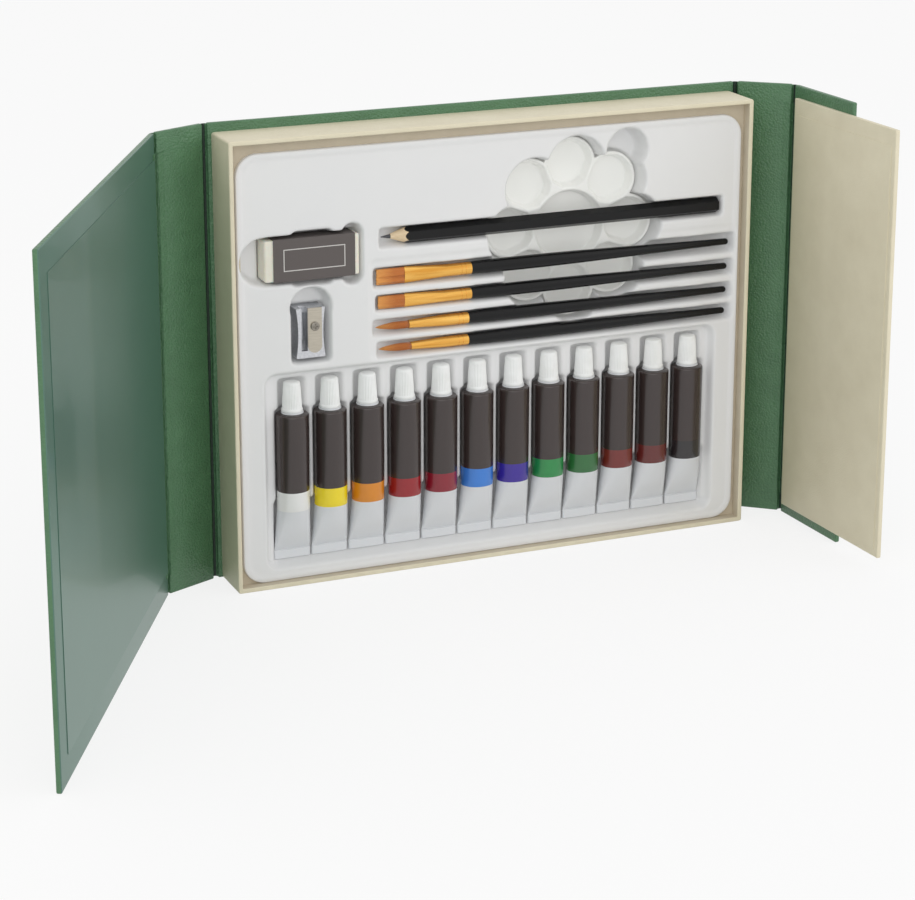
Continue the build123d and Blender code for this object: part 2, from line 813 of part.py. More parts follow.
for index, brush_name in enumerate(brush_names):
    brush_z = brush_heights[index]
    tip_x = along(brush_tips[index])
    mouth_x = along(brush_ferrule_starts[index])
    collar_x = along(brush_ferrule_ends[index])
    end_x = along(brush_handle_ends[index])
    half_width = brush_mouth_half_widths[index]
    half_thickness = brush_mouth_half_thicknesses[index]
    ferrule_radius = brush_ferrule_radii[index]
    is_flat = half_width > half_thickness
    round_x = mouth_x + ferrule_transition * (collar_x - mouth_x)
    tenon_radius = ferrule_radius - ferrule_wall - tenon_gap
    plug_width = half_width - ferrule_wall - hair_plug_gap
    plug_thickness = half_thickness - ferrule_wall - hair_plug_gap

    with BuildPart() as ferrule:
        with BuildSketch(Plane.YZ.offset(mouth_x)):
            with Locations((brush_y, brush_z)):
                Ellipse(half_thickness, half_width)
        with BuildSketch(Plane.YZ.offset(round_x)):
            with Locations((brush_y, brush_z)):
                Circle(ferrule_radius)
        loft()
        with BuildSketch(Plane.YZ.offset(round_x)):
            with Locations((brush_y, brush_z)):
                Circle(ferrule_radius)
        extrude(amount=collar_x - round_x)
        with BuildSketch(Plane.YZ.offset(mouth_x)):
            with Locations((brush_y, brush_z)):
                Ellipse(half_thickness - ferrule_wall, half_width - ferrule_wall)
        extrude(amount=hair_plug_length + hair_plug_gap, mode=Mode.SUBTRACT)
        with BuildSketch(Plane.YZ.offset(collar_x)):
            with Locations((brush_y, brush_z)):
                Circle(ferrule_radius - ferrule_wall)
        extrude(amount=-(tenon_length + tenon_gap), mode=Mode.SUBTRACT)
        for ring_offset in crimp_ring_offsets:
            with BuildSketch(Plane.YZ.offset(collar_x - ring_offset - crimp_ring_width)):
                with Locations((brush_y, brush_z)):
                    Circle(ferrule_radius + crimp_ring_depth)
                    Circle(ferrule_radius - crimp_ring_depth, mode=Mode.SUBTRACT)
            extrude(amount=crimp_ring_width, mode=Mode.SUBTRACT)
    ferrule.part.label = f"{brush_name}_ferrule"
    export_step(ferrule.part, f"parts/{brush_name}_ferrule.step")

    with BuildPart() as handle:
        belly_x = collar_x + handle_belly_distance
        with BuildSketch(
            Plane(origin=(0, brush_y, brush_z), x_dir=(1, 0, 0), z_dir=(0, -1, 0))
        ):
            with BuildLine():
                rise = Spline(
                    (collar_x, ferrule_radius),
                    (belly_x, ferrule_radius + handle_belly),
                    (end_x - handle_end_radius, handle_end_radius),
                    tangents=((1, 0.03), (1, -0.012)),
                )
                tip_arc = RadiusArc(rise @ 1, (end_x, 0), handle_end_radius)
                Polyline(
                    tip_arc @ 1,
                    (collar_x - tenon_length, 0),
                    (collar_x - tenon_length, tenon_radius),
                    (collar_x, tenon_radius),
                    rise @ 0,
                )
            make_face()
        revolve(axis=Axis((0, brush_y, brush_z), (1, 0, 0)))
    handle.part.label = f"{brush_name}_handle"
    export_step(handle.part, f"parts/{brush_name}_handle.step")

    places = strand_places(plug_width * 0.97, plug_thickness * 0.86, is_flat)
    if is_flat:
        strand_width = strand_fill * 2 * plug_width / flat_strand_columns
        strand_depth = strand_fill * 2 * plug_thickness * 0.86 / flat_strand_rows
        stages = [(0, 1, 1), (1, 1, flat_tip_thickness)]
    else:
        strand_width = strand_fill * plug_width / (round_strand_rings + 0.5)
        strand_depth = strand_width
        stages = [
            (0, 1, 1),
            (round_belly_place, round_belly_scale, round_belly_scale),
            (1, round_tip_scale, round_tip_scale),
        ]
    strands = []
    for depth_place, width_place in places:
        if is_flat:
            edge = (width_place / plug_width) ** 2 + (depth_place / plug_thickness) ** 2
            if edge > 1:
                continue
        sections = []
        for share, width_scale, depth_scale in stages:
            section_x = mouth_x + share * (tip_x - mouth_x)
            with BuildSketch(Plane.YZ.offset(section_x), mode=Mode.PRIVATE) as section:
                with Locations(
                    (brush_y + depth_place * depth_scale, brush_z + width_place * width_scale)
                ):
                    Rectangle(strand_depth * depth_scale, strand_width * width_scale)
            sections.append(section.sketch)
        strands.append(loft(sections, ruled=True, mode=Mode.PRIVATE))
    with BuildPart() as hair:
        with BuildSketch(Plane.YZ.offset(mouth_x)):
            with Locations((brush_y, brush_z)):
                Ellipse(plug_thickness, plug_width)
        extrude(amount=hair_plug_length)
        add(strands)
    hair.part.label = f"{brush_name}_hair"
    export_step(hair.part, f"parts/{brush_name}_hair.step")

# Pencil, sharpened to a scalloped edge
pencil_y = plate_front + pencil_axis_depth
pencil_tip_x = along(pencil_tip)
pencil_cone_x = along(pencil_cone_end)
pencil_end_x = along(pencil_end)
corner_radius = pencil_flats / cos(radians(30)) / 2
wood_tip_x = pencil_tip_x + lead_bare_length
wood_plane = Plane(origin=(0, pencil_y, pencil_height), x_dir=(1, 0, 0), z_dir=(0, -1, 0))
lead_hole = lead_radius + lead_gap

with BuildPart() as pencil_barrel:
    with BuildSketch(Plane.YZ.offset(wood_tip_x)):
        with Locations((pencil_y, pencil_height)):
            RegularPolygon(corner_radius, 6, rotation=30)
    extrude(amount=pencil_end_x - wood_tip_x)
    with BuildSketch(wood_plane):
        with BuildLine():
            Polyline(
                (wood_tip_x, 0),
                (wood_tip_x, lead_radius + lead_gap),
                (pencil_cone_x, corner_radius),
                (pencil_end_x, corner_radius),
                (pencil_end_x, 0),
                close=True,
            )
        make_face()
    revolve(axis=Axis((0, pencil_y, pencil_height), (1, 0, 0)), mode=Mode.INTERSECT)
    with BuildSketch(Plane.YZ.offset(wood_tip_x)):
        with Locations((pencil_y, pencil_height)):
            Circle(lead_hole)
    extrude(amount=pencil_end_x - wood_tip_x, mode=Mode.SUBTRACT)
pencil_barrel.part.label = "pencil_barrel"
export_step(pencil_barrel.part, "parts/pencil_barrel.step")

with BuildPart() as pencil_lead:
    with BuildSketch(wood_plane):
        with BuildLine():
            Polyline(
                (pencil_tip_x, 0),
                (pencil_tip_x, lead_point_radius),
                (wood_tip_x, lead_radius),
                (pencil_end_x, lead_radius),
                (pencil_end_x, 0),
                close=True,
            )
        make_face()
    revolve(axis=Axis((0, pencil_y, pencil_height), (1, 0, 0)))
pencil_lead.part.label = "pencil_lead"
export_step(pencil_lead.part, "parts/pencil_lead.step")

# Eraser block and the card sleeve around it
sleeve_out = sleeve_card + sleeve_gap
rubber_y = plate_front + eraser_front_depth + sleeve_out + rubber_thickness / 2
rubber_x = along(rubber_left + rubber_length / 2)
rubber_z = rubber_bottom + rubber_height / 2
with BuildPart() as eraser_rubber:
    with BuildSketch(Plane.YZ.offset(rubber_x - rubber_length / 2)):
        with Locations((rubber_y, rubber_z)):
            Rectangle(rubber_thickness, rubber_height)
    extrude(amount=rubber_length)
    fillet(eraser_rubber.edges().filter_by(Axis.X, reverse=True), rubber_round)
eraser_rubber.part.label = "eraser_rubber"
export_step(eraser_rubber.part, "parts/eraser_rubber.step")

with BuildPart() as eraser_sleeve:
    with BuildSketch(Plane.YZ.offset(along(rubber_left + sleeve_start))):
        with Locations((rubber_y, rubber_z)):
            Rectangle(rubber_thickness + 2 * sleeve_out, rubber_height + 2 * sleeve_out)
            Rectangle(
                rubber_thickness + 2 * sleeve_gap,
                rubber_height + 2 * sleeve_gap,
                mode=Mode.SUBTRACT,
            )
    extrude(amount=sleeve_length)
eraser_sleeve.part.label = "eraser_sleeve"
export_step(eraser_sleeve.part, "parts/eraser_sleeve.step")

# Wedge sharpener: body with a tapered hole, blade and screw
body_front = sharpener_front_depth + blade_thickness
sharpener_x = along(sharpener_centre)
sharpener_top = sharpener_bottom + sharpener_length
blade_x = sharpener_x + blade_offset
blade_bottom = sharpener_top - blade_length
screw_z = sharpener_bottom + screw_height
cone_y = plate_front + body_front + cone_axis_depth
cone_x = sharpener_x + cone_offset
with BuildPart() as sharpener_body:
    with BuildSketch(facing(body_front)):
        with BuildLine():
            right_side = ThreePointArc(
                (sharpener_x + sharpener_width / 2, sharpener_bottom),
                (sharpener_x + sharpener_waist / 2, (sharpener_bottom + sharpener_top) / 2),
                (sharpener_x + sharpener_width / 2, sharpener_top),
            )
            Line(right_side @ 1, (sharpener_x - sharpener_width / 2, sharpener_top))
            left_side = ThreePointArc(
                (sharpener_x - sharpener_width / 2, sharpener_top),
                (sharpener_x - sharpener_waist / 2, (sharpener_bottom + sharpener_top) / 2),
                (sharpener_x - sharpener_width / 2, sharpener_bottom),
            )
            Line(left_side @ 1, right_side @ 0)
        make_face()
    extrude(amount=-sharpener_thickness)
    fillet(sharpener_body.edges().filter_by(Axis.Y), sharpener_round)
    with BuildSketch(Plane(origin=(cone_x, cone_y, 0), x_dir=(1, 0, 0), z_dir=(0, -1, 0))):
        with BuildLine():
            Polyline(
                (0, sharpener_bottom),
                (cone_mouth_radius, sharpener_bottom),
                (cone_end_radius, sharpener_bottom + cone_length),
                (0, sharpener_bottom + cone_length),
                close=True,
            )
        make_face()
    revolve(axis=Axis((cone_x, cone_y, 0), (0, 0, 1)), mode=Mode.SUBTRACT)
    throat_bottom = sharpener_bottom + throat_end_margin
    with BuildSketch(facing(body_front)):
        with Locations((sharpener_x + throat_offset, (throat_bottom + sharpener_top) / 2)):
            Rectangle(throat_width, sharpener_top - throat_bottom)
    extrude(amount=-cone_axis_depth, mode=Mode.SUBTRACT)
    with BuildSketch(facing(body_front)):
        with Locations((blade_x, screw_z)):
            Circle(screw_shank_radius + screw_shank_gap)
    extrude(amount=-(screw_shank_length + screw_shank_gap), mode=Mode.SUBTRACT)
sharpener_body.part.label = "sharpener_body"
export_step(sharpener_body.part, "parts/sharpener_body.step")

with BuildPart() as sharpener_blade:
    with BuildSketch(facing(body_front)):
        with Locations((blade_x, (blade_bottom + blade_width / 2 + sharpener_top) / 2)):
            Rectangle(blade_width, sharpener_top - blade_bottom - blade_width / 2)
        with Locations((blade_x, blade_bottom + blade_width / 2)):
            Circle(blade_width / 2)
        with Locations((blade_x, screw_z)):
            Circle(screw_shank_radius + screw_shank_gap, mode=Mode.SUBTRACT)
    extrude(amount=blade_thickness)
sharpener_blade.part.label = "sharpener_blade"
export_step(sharpener_blade.part, "parts/sharpener_blade.step")

with BuildPart() as sharpener_screw:
    with BuildSketch(facing(sharpener_front_depth)):
        with Locations((blade_x, screw_z)):
            Circle(screw_head_radius)
    extrude(amount=screw_head_height)
    fillet(sharpener_screw.edges().group_by(Axis.Y)[0], screw_head_height / 2)
    with BuildSketch(facing(sharpener_front_depth)):
        with Locations((blade_x, screw_z)):
            Circle(screw_shank_radius)
    extrude(amount=-(blade_thickness + screw_shank_length))
    with BuildSketch(facing(sharpener_front_depth - screw_head_height)):
        with Locations((blade_x, screw_z)):
            Rectangle(cross_length, cross_width)
            Rectangle(cross_width, cross_length)
    extrude(amount=-cross_depth, mode=Mode.SUBTRACT)
sharpener_screw.part.label = "sharpener_screw"
export_step(sharpener_screw.part, "parts/sharpener_screw.step")

# Flower palette: a scalloped rim with eight petal wells around a centre well
well_depth = palette_height - palette_wall
palette_flange = flower_block(palette_front_depth, 0, palette_rim)
with BuildPart() as palette:
    add(palette_flange)
    with BuildSketch(facing(palette_front_depth)):
        with Locations((palette_x, palette_centre_z)):
            Circle(centre_well_radius + palette_wall)
            with PolarLocations(petal_circle, petal_count):
                Circle(petal_well_radius + palette_wall)
    extrude(amount=-palette_height, taper=palette_well_taper)
    with BuildSketch(facing(palette_front_depth)):
        with Locations((palette_x, palette_centre_z)):
            with PolarLocations(petal_circle, petal_count):
                Circle(petal_well_radius)
    extrude(amount=-well_depth, taper=palette_well_taper, mode=Mode.SUBTRACT)
    with BuildSketch(facing(palette_front_depth)):
        with Locations((palette_x, palette_centre_z)):
            Circle(centre_well_radius)
    extrude(amount=-well_depth, taper=palette_well_taper, mode=Mode.SUBTRACT)
palette.part.label = "palette"
export_step(palette.part, "parts/palette.step")
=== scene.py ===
"""Looks of an open acrylic paint set: a gift-box cover, a formed insert, tubes, brushes and tools.

Metres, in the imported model's frame: -Y is out of the tray's open side and +Z is up.
"""
import json
from math import cos, pi, radians, sin

import bmesh
import bpy
import numpy as np
from mathutils import Matrix, Vector


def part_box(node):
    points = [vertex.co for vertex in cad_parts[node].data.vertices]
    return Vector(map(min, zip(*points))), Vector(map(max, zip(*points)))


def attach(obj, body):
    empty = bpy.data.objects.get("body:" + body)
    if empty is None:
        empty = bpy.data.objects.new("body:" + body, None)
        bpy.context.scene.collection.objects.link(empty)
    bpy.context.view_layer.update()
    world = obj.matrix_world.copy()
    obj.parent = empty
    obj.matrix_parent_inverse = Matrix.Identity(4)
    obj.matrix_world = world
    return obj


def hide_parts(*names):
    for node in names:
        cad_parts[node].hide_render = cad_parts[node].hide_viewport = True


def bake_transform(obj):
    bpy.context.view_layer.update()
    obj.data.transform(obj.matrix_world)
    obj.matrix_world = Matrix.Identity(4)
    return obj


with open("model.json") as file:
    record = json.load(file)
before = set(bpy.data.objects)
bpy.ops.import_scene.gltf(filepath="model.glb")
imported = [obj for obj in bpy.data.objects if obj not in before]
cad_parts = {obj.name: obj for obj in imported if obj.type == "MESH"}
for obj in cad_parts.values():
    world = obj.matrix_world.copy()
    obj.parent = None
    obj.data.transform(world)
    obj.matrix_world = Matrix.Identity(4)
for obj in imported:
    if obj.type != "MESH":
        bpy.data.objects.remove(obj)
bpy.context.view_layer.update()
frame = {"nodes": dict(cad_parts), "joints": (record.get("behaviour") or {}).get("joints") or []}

MM = 0.001
joints = {joint["name"]: joint for joint in frame["joints"]}
nodes = frame["nodes"]
tray_low, tray_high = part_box("tray_frame")
insert_low, insert_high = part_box("insert_tray")
cover_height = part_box("back_board")[1].z

# Camera: its angles, its place from the middle of the cover, and its lens
PICTURE_WIDTH = 915
CAMERA_YAW = -22.8
CAMERA_PITCH = 16.2
CAMERA_DISTANCE = 1340.6 * MM
CAMERA_RIGHT = -11.1 * MM
CAMERA_UP = -17.0 * MM
FOCAL_PIXELS = 2716.0
SENSOR_WIDTH = 36.0
PICTURE_SHIFT = -0.098

# Studio: each soft box has a place and a width in metres, and a power in watts
WORLD_LIGHT = 0.74
LIGHT_AIM = (0, 0, 0.12)
LIGHTS = (
    ("front_light", (-0.6, -2.2, 0.9), 1.8, 8),
    ("key_light", (-1.5, -1.3, 1.4), 1.4, 4),
    ("side_light", (1.6, -1.0, 0.9), 1.4, 6),
)
FLOOR_REACH = 6.0
FLOOR_DROP = 0.05 * MM
FLOOR_WHITENING = 0.82

# Colours as sRGB hex values. A pair is the light and the dark tone that a surface drifts between.
GREEN_GRAIN = ("#56815c", "#486f4e")
# Painted shade: leatherette coloured almost black where it runs down into a gutter's crease
CREASE_SHADE_GREEN = ("#20382a", "#14251a")
LINING_GREEN = ("#577b6d", "#4f7264")
CREAM = ("#e8e0c6", "#dcd3b8")
# Painted shade: a darker, warmer copy of the cream for the tray's inner walls and ledge
CREAM_IN_SHADE = ("#d0c5b0", "#c4b8a2")
SHEET_WHITE = ("#ebebea", "#e4e4e5")
PALETTE_WHITE = ("#e6e6e2", "#e2e3e0")
CAP_WHITE = ("#f6f7f7", "#e2e3e0")
FERRULE_GOLD = ("#ffce74", "#cf8c30")
LACQUER_BLACK = ("#0c0c0d", "#050506")
CEDAR = ("#ead6b6", "#d8bc93")
GRAPHITE_GREY = ("#55565a", "#3c3d40")
VINYL_WHITE = ("#f0ede0", "#e4e0d0")
MAGNESIUM_GREY = ("#dcdde0", "#b4b6ba")
BLADE_GREY = ("#c9c2b4", "#a9a294")
SCREW_GREY = ("#a29d94", "#7d7870")
HAIR_TIP = "#f2ab55"
HAIR_ROOT = "#c46f24"
CARD_DARK = "#5b5452"
CARD_SILVER = "#d2cfcb"
TUBE_WHITE = "#dee0e3"
LABEL_DARK = "#372c2a"
BAND_COLOURS = (
    "#ebebe9", "#f5dc1e", "#dd8a20", "#97171f", "#8a1629", "#3a7fd6",
    "#381f96", "#258a47", "#2c6b37", "#742620", "#642421", "#2a2728",
)
FLOOR_WHITE = "#f4f4f4"
PURE_WHITE = (1, 1, 1, 1)

# Sockets of a Mix node for colours, by number because its names repeat
MIX_SHARE = 0
MIX_FIRST = 6
MIX_SECOND = 7
MIX_RESULT = 2


def linear(hex_colour):
    """The linear colour of an sRGB hex value."""
    channels = [int(hex_colour[i:i + 2], 16) / 255 for i in (1, 3, 5)]
    return [c / 12.92 if c <= 0.04045 else ((c + 0.055) / 1.055) ** 2.4 for c in channels] + [1.0]


def add_node(tree, kind, settings=(), links=()):
    """Adds a node, sets its properties and sockets, and links its inputs."""
    node = tree.nodes.new(kind)
    for key, value in dict(settings).items():
        if isinstance(key, str) and hasattr(node, key):
            setattr(node, key, value)
        else:
            node.inputs[key].default_value = value
    for key, socket in dict(links).items():
        tree.links.new(socket, node.inputs[key])
    return node


def new_material(name, settings):
    """A Principled material set on its own sockets, and coordinates that stay with a piece."""
    material = bpy.data.materials.new(name)
    material.use_nodes = True
    tree = material.node_tree
    shader = tree.nodes["Principled BSDF"]
    for key, value in settings.items():
        shader.inputs[key].default_value = value
    coords = add_node(tree, "ShaderNodeTexCoord").outputs["Object"]
    return material, tree, shader, coords


def mottle(tree, shader, coords, tones, patch, contrast):
    """Base colour that drifts between two tones, in patches of a real size."""
    cloud = add_node(tree, "ShaderNodeTexNoise", {"Scale": 1 / patch, "Detail": 4.0},
                     {"Vector": coords})
    drift = add_node(tree, "ShaderNodeMapRange",
                     {"From Min": 0.5 - contrast / 2, "From Max": 0.5 + contrast / 2},
                     {"Value": cloud.outputs["Fac"]})
    light, dark = tones
    mix = add_node(tree, "ShaderNodeMix",
                   {"data_type": "RGBA", MIX_FIRST: linear(dark), MIX_SECOND: linear(light)},
                   {MIX_SHARE: drift.outputs["Result"]})
    tree.links.new(mix.outputs[MIX_RESULT], shader.inputs["Base Color"])


def pebble(tree, shader, coords, grain, depth):
    """Bump of rounded grains with fine creases between them."""
    cells = add_node(tree, "ShaderNodeTexVoronoi", {"Scale": 1 / grain, "Randomness": 1.0},
                     {"Vector": coords})
    fine = add_node(tree, "ShaderNodeTexNoise", {"Scale": 3 / grain, "Detail": 3.0},
                    {"Vector": coords})
    fine_share = 0.4
    both = add_node(tree, "ShaderNodeMath", {"operation": "MULTIPLY_ADD", 1: fine_share},
                    {0: fine.outputs["Fac"], 2: cells.outputs["Distance"]})
    bump = add_node(tree, "ShaderNodeBump", {"Strength": 1.0, "Distance": depth, "invert": True},
                    {"Height": both.outputs[0]})
    tree.links.new(bump.outputs["Normal"], shader.inputs["Normal"])


def waves(tree, shader, coords, size, depth):
    """Bump of soft low waves, as drawn or formed sheet has."""
    cloud = add_node(tree, "ShaderNodeTexNoise", {"Scale": 1 / size, "Detail": 2.0},
                     {"Vector": coords})
    bump = add_node(tree, "ShaderNodeBump", {"Strength": 1.0, "Distance": depth},
                    {"Height": cloud.outputs["Fac"]})
    tree.links.new(bump.outputs["Normal"], shader.inputs["Normal"])


# Embossed grain of the covering paper, about 0.6 mm on the real one and drawn coarser to show
LEATHER_GRAIN = 1.1 * MM


def green_leatherette():
    """Embossed leatherette paper: a satin film whose grain catches the light in small dots."""
    material, tree, shader, coords = new_material("green_leatherette", {"Roughness": 0.36})
    mottle(tree, shader, coords, GREEN_GRAIN, patch=9 * MM, contrast=0.9)
    pebble(tree, shader, coords, LEATHER_GRAIN, depth=0.3 * MM)
    return material


def leatherette_painted_crease_shade():
    """Painted shade for leatherette down in a fold: the same grain, coloured almost black to stand
    for the shade there.
    """
    material, tree, shader, coords = new_material("leatherette_painted_crease_shade", {"Roughness": 0.6})
    mottle(tree, shader, coords, CREASE_SHADE_GREEN, patch=9 * MM, contrast=0.9)
    pebble(tree, shader, coords, LEATHER_GRAIN, depth=0.1 * MM)
    return material


def lining_paper():
    """Calendered lining paper with a pearl coating: smooth, with a broad cool sheen.

    Its fibres, about 0.05 mm wide, are drawn as coarse as 1.2 mm.
    """
    material, tree, shader, coords = new_material(
        "lining_paper", {"Roughness": 0.36, "Metallic": 0.25, "Coat Weight": 0.1}
    )
    mottle(tree, shader, coords, LINING_GREEN, patch=60 * MM, contrast=0.9)
    waves(tree, shader, coords, size=1.2 * MM, depth=0.015 * MM)
    return material


def cream_leatherette():
    """Fine-grained covering paper: cream and satin, its 0.4 mm emboss drawn coarser to show."""
    material, tree, shader, coords = new_material("cream_leatherette", {"Roughness": 0.48})
    mottle(tree, shader, coords, CREAM, patch=14 * MM, contrast=0.8)
    pebble(tree, shader, coords, grain=0.8 * MM, depth=0.07 * MM)
    return material


def painted_shade_cream():
    """Painted shade: the cream drawn as a flat warm tan where the tray's inner walls and ledge lie in
    shade, its soft waves drawn coarser.
    """
    material, tree, shader, coords = new_material("cream_painted_shade", {"Roughness": 0.75})
    mottle(tree, shader, coords, CREAM_IN_SHADE, patch=10 * MM, contrast=0.8)
    waves(tree, shader, coords, size=0.8 * MM, depth=0.03 * MM)
    return material


def formed_sheet():
    """Vacuum-formed white polystyrene: satin, with soft waves."""
    material, tree, shader, coords = new_material(
        "formed_polystyrene",
        {"Roughness": 0.46, "Coat Weight": 0.06, "Coat Roughness": 0.3, "IOR": 1.45},
    )
    mottle(tree, shader, coords, SHEET_WHITE, patch=70 * MM, contrast=0.9)
    waves(tree, shader, coords, size=26 * MM, depth=0.5 * MM)
    return material


def moulded_white(name, tones, roughness, patch, glow):
    """Injection-moulded polypropylene: a waxy white with faint flow marks.

    Its glow stands for the light that shines through the thin milky walls.
    """
    material, tree, shader, coords = new_material(
        name, {"Roughness": roughness, "IOR": 1.49, "Emission Color": linear(tones[0]),
               "Emission Strength": glow}
    )
    mottle(tree, shader, coords, tones, patch, contrast=0.9)
    waves(tree, shader, coords, size=patch / 3, depth=0.03 * MM)
    return material


def tube_coat(number, band_low, band_high, label_top):
    """Lacquered laminate with a printed label: bands of print up the tube, under one gloss."""
    material, tree, shader, coords = new_material(
        f"tube_coat_{number:02d}", {"Roughness": 0.27, "Coat Weight": 0.35, "Coat Roughness": 0.12}
    )
    print_top = 1.1 * label_top
    height = add_node(tree, "ShaderNodeSeparateXYZ", links={0: coords}).outputs["Z"]
    share = add_node(tree, "ShaderNodeMapRange", {"From Min": 0.0, "From Max": print_top},
                     {"Value": height})
    print_bands = add_node(tree, "ShaderNodeValToRGB", links={0: share.outputs["Result"]})
    ramp = print_bands.color_ramp
    ramp.interpolation = "CONSTANT"
    stops = ((0.0, TUBE_WHITE), (band_low, BAND_COLOURS[number - 1]), (band_high, LABEL_DARK),
             (label_top, TUBE_WHITE))
    while len(ramp.elements) < len(stops):
        ramp.elements.new(0.5)
    for element, (place, colour) in zip(ramp.elements, stops):
        element.position = place / print_top
        element.color = linear(colour)
    tree.links.new(print_bands.outputs["Color"], shader.inputs["Base Color"])
    waves(tree, shader, coords, size=7 * MM, depth=0.12 * MM)
    return material


def drawn_ferrule():
    """Gold-anodised aluminium: a warm metal with soft streaks along the way it was drawn."""
    material, tree, shader, coords = new_material(
        "gold_anodised_aluminium", {"Metallic": 1.0, "Roughness": 0.2}
    )
    drawn = add_node(tree, "ShaderNodeMapping", {"Scale": (0.05, 1.0, 1.0)}, {"Vector": coords})
    mottle(tree, shader, drawn.outputs["Vector"], FERRULE_GOLD, patch=2.2 * MM, contrast=0.6)
    waves(tree, shader, drawn.outputs["Vector"], size=1 * MM, depth=0.06 * MM)
    return material


def black_lacquer(name, roughness):
    """Dipped black lacquer over turned wood: deep black with long clean highlights."""
    material, tree, shader, coords = new_material(
        name, {"Roughness": roughness, "Specular IOR Level": 0.3}
    )
    mottle(tree, shader, coords, LACQUER_BLACK, patch=20 * MM, contrast=0.9)
    waves(tree, shader, coords, size=9 * MM, depth=0.04 * MM)
    return material


def cut_cedar():
    """Freshly cut pencil wood: pale and matt, its fine grain drawn coarser along the pencil."""
    material, tree, shader, coords = new_material("cut_cedar", {"Roughness": 0.7})
    grain = add_node(tree, "ShaderNodeMapping", {"Scale": (0.15, 1.0, 1.0)}, {"Vector": coords})
    mottle(tree, shader, grain.outputs["Vector"], CEDAR, patch=0.7 * MM, contrast=0.8)
    waves(tree, shader, grain.outputs["Vector"], size=0.5 * MM, depth=0.03 * MM)
    return material


def graphite():
    """Pencil lead: dark grey with a dull metallic shine."""
    material, tree, shader, coords = new_material(
        "graphite", {"Roughness": 0.42, "Metallic": 0.4}
    )
    mottle(tree, shader, coords, GRAPHITE_GREY, patch=1 * MM, contrast=0.8)
    return material


def vinyl_eraser():
    """Extruded vinyl: soft off-white, matt, a little see-through at its edges."""
    material, tree, shader, coords = new_material(
        "vinyl", {"Roughness": 0.62, "Subsurface Weight": 0.25, "Subsurface Scale": 2 * MM}
    )
    mottle(tree, shader, coords, VINYL_WHITE, patch=5 * MM, contrast=0.8)
    waves(tree, shader, coords, size=1 * MM, depth=0.03 * MM)
    return material


FRAME_INSET = 5.2 * MM
FRAME_HALF_LINE = 0.22 * MM


def printed_card(low, high):
    """Dark printed card with a thin silver frame line set in from the edges of its face."""
    material, tree, shader, coords = new_material("printed_card", {"Roughness": 0.5})
    parts = add_node(tree, "ShaderNodeSeparateXYZ", links={0: coords})
    away = []
    for index, axis in ((0, "X"), (2, "Z")):
        middle = (low[index] + high[index]) / 2
        half = (high[index] - low[index]) / 2 - FRAME_INSET
        shifted = add_node(tree, "ShaderNodeMath", {"operation": "SUBTRACT", 1: middle},
                           {0: parts.outputs[axis]})
        size = add_node(tree, "ShaderNodeMath", {"operation": "ABSOLUTE"}, {0: shifted.outputs[0]})
        away.append(add_node(tree, "ShaderNodeMath", {"operation": "SUBTRACT", 1: half},
                             {0: size.outputs[0]}).outputs[0])
    outside = add_node(tree, "ShaderNodeMath", {"operation": "MAXIMUM"}, {0: away[0], 1: away[1]})
    distance = add_node(tree, "ShaderNodeMath", {"operation": "ABSOLUTE"}, {0: outside.outputs[0]})
    line = add_node(tree, "ShaderNodeMath", {"operation": "LESS_THAN", 1: FRAME_HALF_LINE},
                    {0: distance.outputs[0]})
    face = add_node(tree, "ShaderNodeMix",
                    {"data_type": "RGBA", MIX_FIRST: linear(CARD_DARK),
                     MIX_SECOND: linear(CARD_SILVER)},
                    {MIX_SHARE: line.outputs[0]})
    tree.links.new(face.outputs[MIX_RESULT], shader.inputs["Base Color"])
    waves(tree, shader, coords, size=1.5 * MM, depth=0.015 * MM)
    return material


def cast_magnesium():
    """Die-cast magnesium, tumbled bright: a sparkling skin, its fine dents drawn coarser."""
    material, tree, shader, coords = new_material(
        "cast_magnesium", {"Metallic": 1.0, "Roughness": 0.3}
    )
    mottle(tree, shader, coords, MAGNESIUM_GREY, patch=1.2 * MM, contrast=0.7)
    pebble(tree, shader, coords, grain=0.6 * MM, depth=0.06 * MM)
    return material


def ground_steel(name, tones):
    """Ground blade steel: warm grey, its 0.05 mm grinding lines drawn as coarse as 0.4 mm."""
    material, tree, shader, coords = new_material(name, {"Metallic": 1.0, "Roughness": 0.34})
    lines = add_node(tree, "ShaderNodeMapping", {"Scale": (0.1, 1.0, 1.0)}, {"Vector": coords})
    mottle(tree, shader, lines.outputs["Vector"], tones, patch=0.6 * MM, contrast=0.8)
    waves(tree, shader, lines.outputs["Vector"], size=0.4 * MM, depth=0.01 * MM)
    return material


